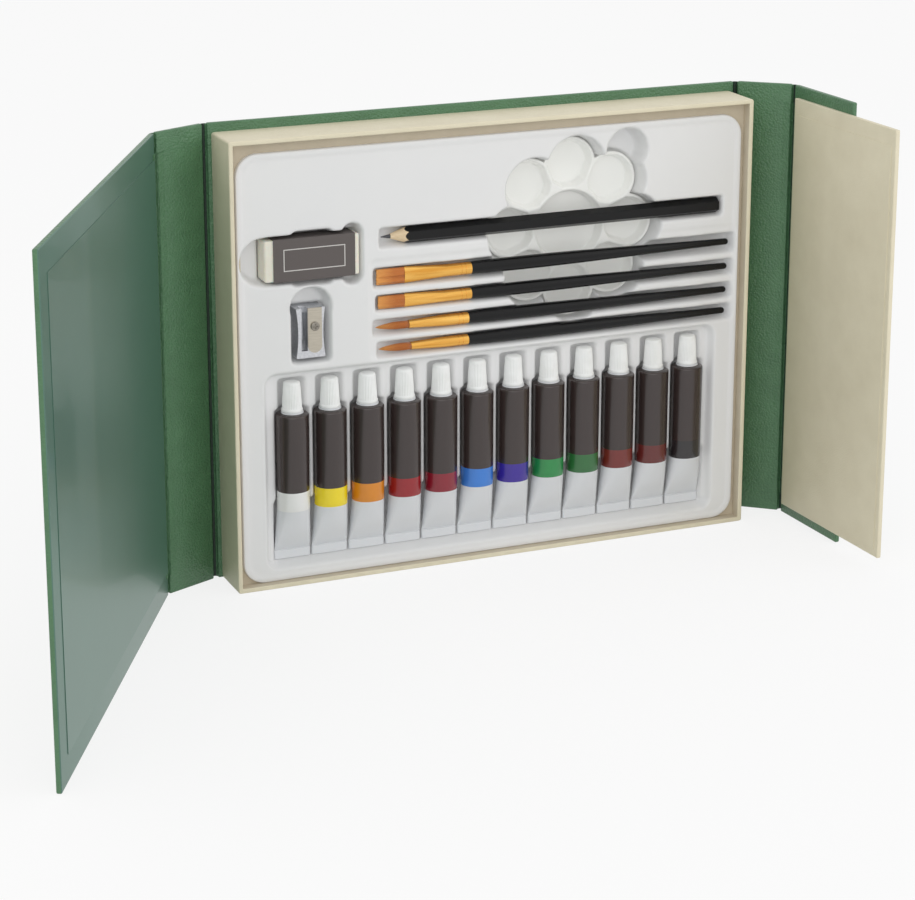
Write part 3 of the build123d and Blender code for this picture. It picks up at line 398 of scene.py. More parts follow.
def brush_hair(tip_x, root_x):
    """Dyed synthetic filament: orange-brown at the root, a lighter orange at the tip.

    A filament is about 0.1 mm thick, and the streaks are drawn at 0.25 mm to show.
    """
    material, tree, shader, coords = new_material(
        "dyed_filament", {"Roughness": 0.4, "Sheen Weight": 0.3}
    )
    length = add_node(tree, "ShaderNodeSeparateXYZ", links={0: coords}).outputs["X"]
    along = add_node(tree, "ShaderNodeMapRange", {"From Min": tip_x, "From Max": root_x},
                     {"Value": length})
    drawn = add_node(tree, "ShaderNodeMapping", {"Scale": (0.03, 1.0, 1.0)}, {"Vector": coords})
    streak = add_node(tree, "ShaderNodeTexNoise", {"Scale": 1 / (0.25 * MM), "Detail": 3.0},
                      {"Vector": drawn.outputs["Vector"]})
    streak_share = 0.55
    mixed = add_node(tree, "ShaderNodeMath", {"operation": "MULTIPLY_ADD", 1: streak_share},
                     {0: streak.outputs["Fac"], 2: along.outputs["Result"]})
    tones = add_node(tree, "ShaderNodeValToRGB", links={0: mixed.outputs[0]})
    ends = ((0.1, HAIR_TIP), (0.9167, HAIR_ROOT))
    for element, (place, colour) in zip(tones.color_ramp.elements, ends):
        element.position = place
        element.color = linear(colour)
    tree.links.new(tones.outputs["Color"], shader.inputs["Base Color"])
    waves(tree, shader, drawn.outputs["Vector"], size=0.3 * MM, depth=0.08 * MM)
    return material


green = green_leatherette()
painted_crease_shade = leatherette_painted_crease_shade()
lining = lining_paper()
cream = cream_leatherette()
cream_shade = painted_shade_cream()
sheet_white = formed_sheet()
palette_white = moulded_white("palette_polypropylene", PALETTE_WHITE, roughness=0.28,
                              patch=30 * MM, glow=0.14)
cap_white = moulded_white("cap_polypropylene", CAP_WHITE, roughness=0.42, patch=8 * MM, glow=0.06)
gold = drawn_ferrule()
handle_black = black_lacquer("handle_lacquer", roughness=0.22)
pencil_black = black_lacquer("pencil_lacquer", roughness=0.3)
cedar = cut_cedar()
lead_grey = graphite()
vinyl = vinyl_eraser()
magnesium = cast_magnesium()
blade_steel = ground_steel("blade_steel", BLADE_GREY)
screw_steel = ground_steel("screw_steel", SCREW_GREY)


def new_piece(name, points, faces, material):
    """A smooth-shaded mesh piece, with its normals turned outwards."""
    mesh = bpy.data.meshes.new(name)
    mesh.from_pydata([tuple(p) for p in points], [], faces)
    shape = bmesh.new()
    shape.from_mesh(mesh)
    bmesh.ops.recalc_face_normals(shape, faces=shape.faces)
    shape.to_mesh(mesh)
    shape.free()
    mesh.shade_smooth()
    mesh.materials.append(material)
    piece = bpy.data.objects.new(name, mesh)
    bpy.context.scene.collection.objects.link(piece)
    return piece


def sharpen(piece, degrees=50):
    """Keeps the edges sharp that turn by more than an angle."""
    piece.data.set_sharp_from_angle(angle=radians(degrees))


def thicken(piece, name, thickness):
    """Gives a sheet its thickness, away from the tray's open side."""
    wall = piece.modifiers.new(name, "SOLIDIFY")
    wall.thickness = thickness
    facing = sum(face.normal.y * face.area for face in piece.data.polygons)
    wall.offset = -1.0 if facing < 0 else 1.0


def ring_faces(rings, around, closed_rings=False):
    """Quads between rings of points, each ring closed on itself."""
    faces = []
    for i in range(rings if closed_rings else rings - 1):
        j = (i + 1) % rings
        for k in range(around):
            m = (k + 1) % around
            faces.append((i * around + k, i * around + m, j * around + m, j * around + k))
    return faces


def capped_faces(rings, around):
    """Quads between rings of points, with a face over the first ring and the last."""
    faces = ring_faces(rings, around)
    faces.append(tuple(range(around)))
    faces.append(tuple((rings - 1) * around + i for i in range(around)))
    return faces


def grid_faces(rows, columns):
    """Quads of a grid of points, row by row."""
    return [
        (r * columns + c, r * columns + c + 1, (r + 1) * columns + c + 1, (r + 1) * columns + c)
        for r in range(rows - 1)
        for c in range(columns - 1)
    ]


def rounded_outline(low, high, corner, steps=5):
    """Points of a rounded rectangle, counter-clockwise from its lower right corner."""
    points = []
    centres = (
        (high[0] - corner, low[1] + corner, -pi / 2),
        (high[0] - corner, high[1] - corner, 0.0),
        (low[0] + corner, high[1] - corner, pi / 2),
        (low[0] + corner, low[1] + corner, pi),
    )
    for x, z, start in centres:
        for step in range(steps + 1):
            turn = start + pi / 2 * step / steps
            points.append((x + corner * cos(turn), z + corner * sin(turn)))
    return points


# Cover: lengths across a board are from the axis of its hinge, towards the inside
BOARD_INNER = 1.2 * MM
BOARD_OUTER = -1.3 * MM
GUTTER = 3.0 * MM
EDGE_ROUND = 0.7 * MM
CLOTH = 0.25 * MM
CLOTH_EDGE = 0.08 * MM
TURN_IN = 9.5 * MM
LINING_LAP = 4.0 * MM
FACES_INWARD = 0.3

# Gutters: how deep the cloth dips, how far the dip runs past the gap, and the width of the
# painted shade down its crease
HINGE_DIP = 2.0 * MM
LINING_DIP = 1.9 * MM
DIP_SPREAD = 0.5 * MM
DIP_FULLNESS = 0.8
OUTER_DIP = 0.12 * MM
HINGE_SUNK = 0.1 * MM
HINGE_INSET = 0.4 * MM
LINING_OFF_OUTER = 0.3 * MM
PAINTED_SHADE_WIDTH = 1.9 * MM
GUTTER_COLUMNS = 17
GUTTER_LEVELS = 12

# Closing panel: its rounded edge, and a facing that stops short of the panel's four sides
PANEL_EDGE = 0.5 * MM
FACING = 0.3 * MM
FACING_EDGE = 0.12 * MM
FACING_NEAR = 1.2 * MM
FACING_FAR = 3.2 * MM
FACING_BOTTOM = 4 * MM
FACING_TOP = 8 * MM


class FoldedPlane:
    """A board's plane: along runs from its hinge, and across towards the inside of the cover."""

    def __init__(self, start, direction, inner):
        self.start = Vector(start)
        self.direction = Vector(direction)
        self.inner = Vector(inner)

    def place(self, along, across, height):
        """Point of the board's plane in the row frame."""
        return self.start + self.direction * along + self.inner * across + Vector((0, 0, height))


def fold_plane(joint_name, side, fold):
    """Plane of the board after a joint, from the fold between it and the back board."""
    turn = radians(fold)
    return FoldedPlane(
        joints[joint_name]["pos_m"],
        (side * cos(turn), -sin(turn), 0),
        (-side * sin(turn), -cos(turn), 0),
    )


def rest_fold(side, *names):
    """Sum of the folds at rest, which are the joints' travels to flat."""
    return sum(joints[f"{side}_{name}_fold"]["range_deg"][1] for name in names)


planes = {}
for side, sign in (("left", -1), ("right", 1)):
    planes[f"{side}_back"] = fold_plane(f"{side}_spine_fold", sign, 0)
    planes[f"{side}_spine"] = fold_plane(f"{side}_spine_fold", sign, rest_fold(side, "spine"))
    planes[f"{side}_flap"] = fold_plane(
        f"{side}_flap_fold", sign, rest_fold(side, "spine", "flap")
    )


def board_span(plane, node):
    """Where a node starts and ends along its plane, and how far in it reaches."""
    offsets = [vertex.co - plane.start for vertex in nodes[node].data.vertices]
    along = [offset.dot(plane.direction) for offset in offsets]
    return min(along), max(along), max(offset.dot(plane.inner) for offset in offsets)


def covered_board(name, plane, along, across, heights, edge, material, facing=None):
    """A board wrapped in paper, with rounded edges and perhaps another paper on its inner face."""
    shape = bmesh.new()
    corners = [
        shape.verts.new(plane.place(a, c, h)) for h in heights for c in across for a in along
    ]
    for face in ((0, 1, 3, 2), (4, 6, 7, 5), (0, 4, 5, 1), (2, 3, 7, 6), (0, 2, 6, 4), (1, 5, 7, 3)):
        shape.faces.new([corners[i] for i in face])
    bmesh.ops.bevel(
        shape, geom=list(shape.edges), offset=edge, segments=4, profile=0.5, affect="EDGES"
    )
    shape.verts.index_update()
    points = [vertex.co.copy() for vertex in shape.verts]
    faces = [[vertex.index for vertex in face.verts] for face in shape.faces]
    shape.free()
    piece = new_piece(name, points, faces, material)
    sharpen(piece)
    if facing:
        piece.data.materials.append(facing)
        for face in piece.data.polygons:
            face.material_index = 1 if face.normal.dot(plane.inner) > FACES_INWARD else 0
    return piece


def hinge_strip(name, near, far, near_end, profile, heights):
    """Cloth that bends from one board to the next, from a profile of reach, inner and outer side."""
    loop = [(reach, inner) for reach, inner, _ in profile]
    loop += [(reach, outer) for reach, _, outer in reversed(profile)]
    around = len(loop)
    points = []
    for level in np.linspace(heights[0], heights[1], GUTTER_LEVELS):
        for reach, across in loop:
            if reach < 0:
                points.append(near.place(near_end + reach, across, level))
            elif reach > 0:
                points.append(far.place(reach, across, level))
            else:
                both = near.place(near_end, across, level) + far.place(0, across, level)
                points.append(both / 2)
    faces = capped_faces(GUTTER_LEVELS, around)
    piece = new_piece(name, points, faces, green)
    sharpen(piece)
    # The middle of the strip's inner side takes painted shade, almost black, down in the crease
    piece.data.materials.append(painted_crease_shade)
    for index in range((GUTTER_LEVELS - 1) * around):
        column = index % around
        if column >= len(profile) - 1:
            continue
        if abs(profile[column][0] + profile[column + 1][0]) < PAINTED_SHADE_WIDTH:
            piece.data.polygons[index].material_index = 1
    near.place(near_end - GUTTER / 2, 0, cover_height / 2)
    far.place(GUTTER / 2, 0, cover_height / 2)
    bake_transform(piece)
    return piece


def gutter_profile(low, high, dip, reach):
    """Reach, inner side and outer side of a strip that sinks between the boards."""
    rows = []
    half = GUTTER / 2
    for share in np.linspace(-1, 1, GUTTER_COLUMNS):
        place = share * (half + reach)
        sunk = dip * max(0.0, 1 - (place / (half + DIP_SPREAD)) ** 2) ** DIP_FULLNESS
        rows.append((place, high - sunk, low + (OUTER_DIP if abs(place) < half else 0)))
    return rows


def build_side(side):
    """Spine, flap, gutters and linings of one side of the cover; the boards and the spine's lining
    each go on their own body, the gutters on none.
    """
    back_plane = planes[f"{side}_back"]
    spine_plane = planes[f"{side}_spine"]
    flap_plane = planes[f"{side}_flap"]
    spine_end = board_span(spine_plane, f"{side}_spine_board")[1]
    flap_end = board_span(flap_plane, f"{side}_flap_board")[1]
    for part, plane, end in (("spine", spine_plane, spine_end), ("flap", flap_plane, flap_end)):
        board = covered_board(
            f"{side}_{part}_covered", plane, (GUTTER / 2, end), (BOARD_OUTER, BOARD_INNER),
            (0, cover_height), EDGE_ROUND, green,
            lining if (side, part) == ("left", "flap") else None,
        )
        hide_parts(f"{side}_{part}_board")
        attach(board, f"{side}_{part}")
    inner_sheet = covered_board(
        f"{side}_spine_lining", spine_plane, (GUTTER / 2 + LINING_LAP, spine_end - LINING_LAP),
        (BOARD_INNER, BOARD_INNER + CLOTH), (TURN_IN, cover_height - TURN_IN), CLOTH_EDGE,
        green,
    )
    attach(inner_sheet, f"{side}_spine")
    outer_bodies = (f"{side}_spine", f"{side}_flap")
    outer_start = spine_end + GUTTER / 2
    hinges = (
        ("inner", back_plane, spine_plane, 0.0, ("tray", f"{side}_spine")),
        ("outer", spine_plane, flap_plane, outer_start, outer_bodies),
    )
    for place, near, far, near_end, bodies in hinges:
        strip = hinge_strip(
            f"{side}_{place}_gutter", near, far, near_end,
            gutter_profile(BOARD_OUTER, BOARD_INNER - HINGE_SUNK, HINGE_DIP, 0.0),
            (HINGE_INSET, cover_height - HINGE_INSET),
        )
        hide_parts(f"{side}_{place}_hinge_cloth")
    hinge_strip(
        f"{side}_outer_gutter_lining", spine_plane, flap_plane, outer_start,
        gutter_profile(BOARD_OUTER + LINING_OFF_OUTER, BOARD_INNER + CLOTH, LINING_DIP, LINING_LAP),
        (TURN_IN, cover_height - TURN_IN),
    )


def build_cover():
    """Back board behind the tray, and both sides of the cover."""
    low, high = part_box("back_board")
    back = FoldedPlane((0, low.y + BOARD_INNER, 0), (1, 0, 0), (0, -1, 0))
    board = covered_board("back_board_covered", back, (-high.x, high.x), (BOARD_OUTER, BOARD_INNER),
                          (0, cover_height), EDGE_ROUND, green)
    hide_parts("back_board")
    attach(board, "tray")
    for cover_side in ("left", "right"):
        build_side(cover_side)


def build_closing_panel():
    """Paper-covered panel on the right flap, with the facing's edges showing as fine seams."""
    plane = planes["right_flap"]
    low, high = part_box("closing_panel")
    start, end, inner = board_span(plane, "closing_panel")
    panel = covered_board("closing_panel_covered", plane, (start, end), (BOARD_INNER, inner),
                          (low.z, high.z), PANEL_EDGE, cream)
    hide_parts("closing_panel", "panel_magnets")
    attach(panel, "right_flap")
    facing = covered_board(
        "closing_panel_facing", plane, (start + FACING_NEAR, end - FACING_FAR),
        (inner, inner + FACING), (low.z + FACING_BOTTOM, high.z - FACING_TOP), FACING_EDGE, cream,
    )
    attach(facing, "right_flap")


# Tray: its rim and corners, and the ledge that shows round the insert, coloured a darker cream as
# painted shade
RIM_ROUND = 0.55 * MM
TRAY_CORNER = 1.2 * MM
LEAST_CORNER = 0.25 * MM
LEDGE_DEPTH = 2.2 * MM
LEDGE_LAP = 2.4 * MM
LEDGE_CORNER = 9 * MM


def build_tray_walls():
    """Walls of the tray as one folded strip: outer face, rounded rim, inner face and ledge."""
    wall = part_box("tray_floor")[0].x - tray_low.x
    profile = [(0, tray_high.y)]
    for turn in np.linspace(0, pi / 2, 5):
        profile.append((RIM_ROUND - RIM_ROUND * cos(turn),
                        tray_low.y + RIM_ROUND - RIM_ROUND * sin(turn)))
    for turn in np.linspace(pi / 2, 0, 5):
        profile.append((wall - RIM_ROUND + RIM_ROUND * cos(turn),
                        tray_low.y + RIM_ROUND - RIM_ROUND * sin(turn)))
    ledge = insert_low.y + LEDGE_DEPTH
    profile.append((wall, ledge))
    points = []
    for inset, depth in profile:
        outline = rounded_outline((tray_low.x + inset, tray_low.z + inset),
                                  (tray_high.x - inset, tray_high.z - inset),
                                  max(TRAY_CORNER - inset, LEAST_CORNER))
        points += [(x, depth, z) for x, z in outline]
    around = len(outline)
    outline = rounded_outline((insert_low.x + LEDGE_LAP, insert_low.z + LEDGE_LAP),
                              (insert_high.x - LEDGE_LAP, insert_high.z - LEDGE_LAP),
                              LEDGE_CORNER)
    for depth in (ledge, tray_high.y):
        points += [(x, depth, z) for x, z in outline]
    faces = ring_faces(len(profile) + 2, around, closed_rings=True)
    walls = new_piece("tray_walls", points, faces, cream)
    # The inner wall and the ledge take the darker cream: painted shade
    walls.data.materials.append(cream_shade)
    shade_start = (len(profile) - 2) * around
    for face in walls.data.polygons[shade_start:shade_start + 3 * around]:
        face.material_index = 1
    sharpen(walls)
    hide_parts("tray_frame")
    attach(walls, "tray")


# Formed insert, as a field of depths behind its face. From here on, sizes without a unit are in
# mm, and places in the tray are from its lower left corner, across and up.
RASTER = 0.5
SOFTNESS = 0.55
POCKET_SPREAD = 0.4
GROOVE_SPREAD = 0.22
DRAFT = 0.5
GAP = 0.3

# Tubes and the bay that holds them: the bay's depth, then its beds
CRIMP_TOP = 15.5
WEDGE_TOP = 38.0
BAY_LOW = (17.6, 9.0)
BAY_HIGH = (254.7, 104.8)
BAY_CORNER = 5.0
BAY_DEPTH = 5.0
BED_AXIS_DEPTH = 4.5
BED_HALF = 8.3
BED_START = 40.0
BED_PAST_CAP = 0.2
CAP_BED_HALF = 6.6
CAP_BED_BELOW = 0.5
CAP_BED_ABOVE = 0.8
CRIMP_ROW_TOP = 40.5
CRIMP_ROW_DEPTH = 9.9
CRIMP_BED_HALF = 8.5
CRIMP_BED_TOP = 41.0
CRIMP_SIDE_GAP = 0.6
CRIMP_END_GAP = 0.7
WEDGE_RUN = 25.0
WEDGE_ROW_RISE = 2.6
WEDGE_BED_SINK = 3.2

# Brushes, each with whether it is flat, and their shallow bay, its clips and the grooves
BRUSHES = (("flat_brush_wide", True), ("flat_brush_narrow", True),
           ("round_brush_large", False), ("round_brush_small", False))
BRUSH_BAY_LOW = (70.5, 107.9)
BRUSH_BAY_HIGH = (265.2, 156.0)
BRUSH_BAY_CORNER = 3.0
BRUSH_BAY_DEPTH = 1.0
BRUSH_AXIS_DEPTH = 3.4
CLIP_SPANS = ((106.0, 124.0), (236.0, 249.0))
CLIP_HALF = 5.4
CLIP_CORNER = 1.8
CLIP_SLOPE = 1.4
CLIP_FILL = 0.85
GROOVE_END_GAP = 1.3
PENCIL_GROOVE_HALF = 4.3
PENCIL_AXIS_DEPTH = 4.0

# Eraser, sharpener and palette: a finger hollow has a place, a radius and a depth. The eraser's
# and the sharpener's take the missing part of their place from the piece itself.
POCKET_CORNER = 1.0
ERASER_FINGER = (17.1, 10.5, 9.0)
ERASER_HOLLOW = (31.5, 51.5)
ERASER_HOLLOW_LAP = 2.1
ERASER_HOLLOW_CORNER = 2.6
ERASER_HOLLOW_DEPTH = 7.0
ERASER_DIMPLE = (61.5, 4.2, 7.0)
ERASER_DIMPLE_INSET = 0.5
SHARPENER_HALF = 8.7
SHARPENER_BELOW = 1.4
SHARPENER_CORNER = 1.4
SHARPENER_FINGER = (9.2, 9.0)
PALETTE_FINGER = (205.3, 199.0, 9.7, 12.0)

# Plate: its corners, the step behind its rim and its mesh. The skirt's rows say how far out and
# how far down it goes.
INSERT_CORNER = 11.0
RIM_WIDTH = 2.6
RIM_SLOPE = 0.9
RIM_STEP = 0.45
PLATE_INSET = 0.9
PLATE_SPACING = 0.75
SHEET_THICKNESS = 0.5
SKIRT = ((0.35, 0.08), (0.65, 0.3), (0.8, 0.75), (0.9, 4.0), (0.9, 18.9))

# Palette: eight petal wells on a circle about a centre well, in a scalloped plate
PETALS = 8
PETAL_TURNS = [2 * pi * index / PETALS for index in range(PETALS)]
PETAL_CIRCLE = 31.2
PETAL_RADIUS = 13.8
PETAL_BRIM = 1.5
DISC_RADIUS = 29.0
CENTRE_WELL = 18.4
RIB = 0.55
PALETTE_WALL = 1.2
WALL_THINNER = 0.05
INNERMOST_RING = 0.004
WELL_SLOPE = 1.9
LIP_START = 1.0
LIP_WIDTH = 0.8
LIP_DROP = 0.7


def tray_box(node):
    """A node's box in mm: across the tray, behind the insert's face, and up."""
    return [
        np.array((corner.x - tray_low.x, corner.y - insert_low.y, corner.z)) / MM
        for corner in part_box(node)
    ]


def slab_distance(across, up, low, high, corner):
    """Signed distance to a rounded rectangle, negative inside."""
    middle = [(a + b) / 2 for a, b in zip(low, high)]
    half = [(b - a) / 2 - corner for a, b in zip(low, high)]
    dx = np.abs(across - middle[0]) - half[0]
    dz = np.abs(up - middle[1]) - half[1]
    outside = np.hypot(np.maximum(dx, 0), np.maximum(dz, 0))
    return outside + np.minimum(np.maximum(dx, dz), 0) - corner


def pressed(distance, depth):
    """Depth of a flat-bottomed pocket, whose wall has a little draft."""
    return depth * np.clip(0.5 - (distance - POCKET_SPREAD) / (2 * DRAFT), 0, 1)


def finger_hollow(across, up, centre, radius, depth):
    """Depth of a round hollow for a fingertip."""
    return pressed(np.hypot(across - centre[0], up - centre[1]) - radius, depth)


def grooved(offset, half, axis_depth):
    """Depth of a round-bottomed groove at an offset from its axis."""
    radius = half + GROOVE_SPREAD
    inside = np.maximum(radius**2 - offset**2, 0)
    return np.where(np.abs(offset) < radius, axis_depth + np.sqrt(inside), 0)


def within(value, low, high):
    """One between two values, and nothing outside."""
    return np.where((value > low) & (value < high), 1.0, 0.0)


def soften(field, sigma):
    """Gaussian blur of a field, which rounds every formed edge."""
    reach = int(3 * sigma / RASTER) + 1
    steps = np.arange(-reach, reach + 1) * RASTER
    weights = np.exp(-0.5 * (steps / sigma) ** 2)
    weights /= weights.sum()
    for axis in (0, 1):
        padded = np.pad(field, [(reach, reach) if a == axis else (0, 0) for a in (0, 1)], "edge")
        field = sum(
            weight * np.take(padded, range(i, i + field.shape[axis]), axis)
            for i, weight in enumerate(weights)
        )
    return field


def sampled(field, column, row):
    """Values of a field between its grid points."""
    c, r = column.astype(int), row.astype(int)
    right, above = column - c, row - r
    return ((field[r, c] * (1 - right) + field[r, c + 1] * right) * (1 - above)
            + (field[r + 1, c] * (1 - right) + field[r + 1, c + 1] * right) * above)


def tube_field(across, up):
    """Depths of the bay with its beds for the tubes, their caps and the row of crimps."""
    depth = pressed(slab_distance(across, up, BAY_LOW, BAY_HIGH, BAY_CORNER), BAY_DEPTH)
    row_low = tray_box("tube_01")[0]
    row_high = tray_box("tube_12")[1]
    bed_start = row_low[2] - CRIMP_END_GAP
    wedge_share = np.clip((up - CRIMP_TOP) / WEDGE_RUN, 0, 1)
    row = within(across, row_low[0] - CRIMP_SIDE_GAP, row_high[0] + CRIMP_SIDE_GAP)
    row = row * within(up, bed_start, CRIMP_ROW_TOP)
    depth = np.maximum(depth, row * (CRIMP_ROW_DEPTH - WEDGE_ROW_RISE * wedge_share))
    for number in range(1, 13):
        low, high = tray_box(f"tube_{number:02d}")
        cap_low, cap_high = tray_box(f"cap_{number:02d}")
        offset = across - (low[0] + high[0]) / 2
        body = grooved(offset, BED_HALF, BED_AXIS_DEPTH)
        body = body * within(up, BED_START, cap_low[2] + BED_PAST_CAP)
        cap = grooved(offset, CAP_BED_HALF, BED_AXIS_DEPTH)
        cap = cap * within(up, cap_low[2] - CAP_BED_BELOW, cap_high[2] + CAP_BED_ABOVE)
        crimp = within(offset, -CRIMP_BED_HALF, CRIMP_BED_HALF)
        crimp = crimp * within(up, low[2] - CRIMP_END_GAP, CRIMP_BED_TOP)
        crimp = crimp * (CRIMP_ROW_DEPTH + WEDGE_BED_SINK * wedge_share)
        depth = np.maximum.reduce([depth, body, cap, crimp])
    return depth


def brush_field(across, up):
    """Depths of the shallow brush bay, its clips and the grooves for the brushes and pencil."""
    bay = slab_distance(across, up, BRUSH_BAY_LOW, BRUSH_BAY_HIGH, BRUSH_BAY_CORNER)
    depth = pressed(bay, BRUSH_BAY_DEPTH)
    clips = np.zeros_like(depth)
    grooves = np.zeros_like(depth)
    for name, _ in BRUSHES:
        handle_low, handle_high = tray_box(f"{name}_handle")
        ferrule_low, ferrule_high = tray_box(f"{name}_ferrule")
        start = tray_box(f"{name}_hair")[0][0] - GROOVE_END_GAP
        middle = (handle_low[2] + handle_high[2]) / 2
        width = max(ferrule_high[2] - ferrule_low[2], handle_high[2] - handle_low[2])
        for near, far in CLIP_SPANS:
            pad = slab_distance(across, up, (near, middle - CLIP_HALF), (far, middle + CLIP_HALF),
                                CLIP_CORNER)
            clips = np.maximum(clips, np.clip(0.5 - pad / CLIP_SLOPE, 0, 1))
        groove = grooved(up - middle, width / 2 + GAP, BRUSH_AXIS_DEPTH)
        groove = groove * within(across, start, handle_high[0] + GROOVE_END_GAP)
        grooves = np.maximum(grooves, groove)
    low, high = tray_box("pencil_barrel")
    start = tray_box("pencil_lead")[0][0] - GROOVE_END_GAP
    groove = grooved(up - (low[2] + high[2]) / 2, PENCIL_GROOVE_HALF, PENCIL_AXIS_DEPTH)
    groove = groove * within(across, start, high[0] + GROOVE_END_GAP)
    return np.maximum.reduce([depth * (1 - CLIP_FILL * clips), grooves, groove])


def tool_field(across, up):
    """Depths of the pockets for the eraser, the sharpener and the fingers that lift them."""
    low, high = tray_box("eraser_sleeve")
    rubber_low, rubber_high = tray_box("eraser_rubber")
    middle = (low[2] + high[2]) / 2
    pocket = slab_distance(across, up, (rubber_low[0] - GAP, low[2] - GAP),
                           (rubber_high[0] + GAP, high[2] + GAP), POCKET_CORNER)
    finger_across, finger_radius, finger_depth = ERASER_FINGER
    hollow = slab_distance(across, up, (ERASER_HOLLOW[0], low[2] - ERASER_HOLLOW_LAP),
                           (ERASER_HOLLOW[1], high[2] + ERASER_HOLLOW_LAP), ERASER_HOLLOW_CORNER)
    fields = [
        pressed(pocket, high[1] + GAP),
        finger_hollow(across, up, (finger_across, middle), finger_radius, finger_depth),
        pressed(hollow, ERASER_HOLLOW_DEPTH),
    ]
    dimple_across, dimple_radius, dimple_depth = ERASER_DIMPLE
    for edge in (low[2] + ERASER_DIMPLE_INSET, high[2] - ERASER_DIMPLE_INSET):
        fields.append(finger_hollow(across, up, (dimple_across, edge), dimple_radius, dimple_depth))
    low, high = tray_box("sharpener_body")
    centre = (low[0] + high[0]) / 2
    pocket = slab_distance(across, up, (centre - SHARPENER_HALF, low[2] - SHARPENER_BELOW),
                           (centre + SHARPENER_HALF, high[2] + GAP), SHARPENER_CORNER)
    fields.append(pressed(pocket, high[1] + GAP))
    fields.append(finger_hollow(across, up, (centre, high[2]), *SHARPENER_FINGER))
    return np.maximum.reduce(fields)


def palette_field(across, up):
    """Depths of the palette's scalloped pocket and its finger hollow."""
    low, high = tray_box("palette")
    aside = across - (low[0] + high[0]) / 2
    above = up - (low[2] + high[2]) / 2
    distance = np.hypot(aside, above) - DISC_RADIUS - GAP
    for turn in PETAL_TURNS:
        petal = np.hypot(aside - PETAL_CIRCLE * cos(turn), above - PETAL_CIRCLE * sin(turn))
        distance = np.minimum(distance, petal - PETAL_RADIUS - GAP)
    finger = finger_hollow(across, up, PALETTE_FINGER[:2], *PALETTE_FINGER[2:])
    return np.maximum(pressed(distance, high[1] + GAP), finger)


def insert_field(across, up, low, high):
    """Depths of the whole insert: its pockets, and the step of its plate behind its rim."""
    depth = soften(np.maximum.reduce([
        tube_field(across, up), brush_field(across, up), tool_field(across, up),
        palette_field(across, up),
    ]), SOFTNESS)
    edge = slab_distance(across, up, (low[0], low[2]), (high[0], high[2]), INSERT_CORNER)
    step = RIM_STEP * np.clip((-edge - RIM_WIDTH) / RIM_SLOPE, 0, 1)
    return depth + step * np.clip(1 - depth, 0, 1)


def round_corners(grid_x, grid_z, low, high, corner):
    """Bends the corners of a square grid so that its outline becomes a rounded rectangle."""
    for sign_x, corner_x in ((-1, low[0] + corner), (1, high[0] - corner)):
        for sign_z, corner_z in ((-1, low[1] + corner), (1, high[1] - corner)):
            a = sign_x * (grid_x - corner_x) / corner
            b = sign_z * (grid_z - corner_z) / corner
            inside = (a > 0) & (b > 0)
            radius = np.maximum(a, b)
            share = np.minimum(a, b) / np.maximum(radius, 1e-9)
            turn = np.where(a >= b, pi / 4 * share, pi / 2 - pi / 4 * share)
            grid_x = np.where(inside, corner_x + sign_x * corner * radius * np.cos(turn), grid_x)
            grid_z = np.where(inside, corner_z + sign_z * corner * radius * np.sin(turn), grid_z)
    return grid_x, grid_z


def away_from_core(point):
    """Direction out of the insert's outline, square to its sides and round its corners."""
    middle = (insert_low + insert_high) / 2
    half = (insert_high - insert_low) / 2
    half_x = half.x - INSERT_CORNER * MM
    half_z = half.z - INSERT_CORNER * MM
    aside = point.x - middle.x
    above = point.z - middle.z
    return Vector((
        aside - max(-half_x, min(half_x, aside)), 0, above - max(-half_z, min(half_z, above)),
    )).normalized()


def build_insert():
    """Formed insert: plate, pockets and a skirt down to the tray's floor."""
    low, high = tray_box("insert_tray")
    across, up = np.meshgrid(*(np.arange(low[i], high[i] + RASTER, RASTER) for i in (0, 2)))
    field = insert_field(across, up, low, high)

    columns, rows = (int((high[i] - low[i]) / PLATE_SPACING) for i in (0, 2))
    plate_low = (low[0] + PLATE_INSET, low[2] + PLATE_INSET)
    plate_high = (high[0] - PLATE_INSET, high[2] - PLATE_INSET)
    grid_x, grid_z = np.meshgrid(np.linspace(plate_low[0], plate_high[0], columns),
                                 np.linspace(plate_low[1], plate_high[1], rows))
    grid_x, grid_z = round_corners(grid_x, grid_z, plate_low, plate_high,
                                   INSERT_CORNER - PLATE_INSET)
    column = np.clip((grid_x - low[0]) / RASTER, 0, field.shape[1] - 1.001)
    row = np.clip((grid_z - low[2]) / RASTER, 0, field.shape[0] - 1.001)
    depths = sampled(field, column, row)
    points = np.stack([grid_x * MM + tray_low.x, depths * MM + insert_low.y, grid_z * MM], -1)
    points = [Vector(p) for p in points.reshape(-1, 3)]
    faces = grid_faces(rows, columns)

    border = list(range(columns))
    border += [(k + 1) * columns - 1 for k in range(1, rows)]
    border += [(rows - 1) * columns + k for k in range(columns - 2, -1, -1)]
    border += [k * columns for k in range(rows - 2, 0, -1)]
    ring = border
    for outward, down in SKIRT:
        start = len(points)
        for index in border:
            point = points[index]
            foot = Vector((point.x, insert_low.y + down * MM, point.z))
            points.append(foot + away_from_core(point) * outward * MM)
        fresh = list(range(start, len(points)))
        for k in range(len(ring)):
            m = (k + 1) % len(ring)
            faces.append((ring[k], ring[m], fresh[m], fresh[k]))
        ring = fresh
    insert = new_piece("formed_insert", points, faces, sheet_white)
    thicken(insert, "sheet", SHEET_THICKNESS * MM)
    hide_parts("insert_tray")
    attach(insert, "tray")


def bowl(distance, well_depth):
    """Depth of a well with steep sides, a rounded brim and a rounded floor edge."""
    share = np.clip(-distance / WELL_SLOPE, 0, 1)
    return well_depth * share * share * (3 - 2 * share)


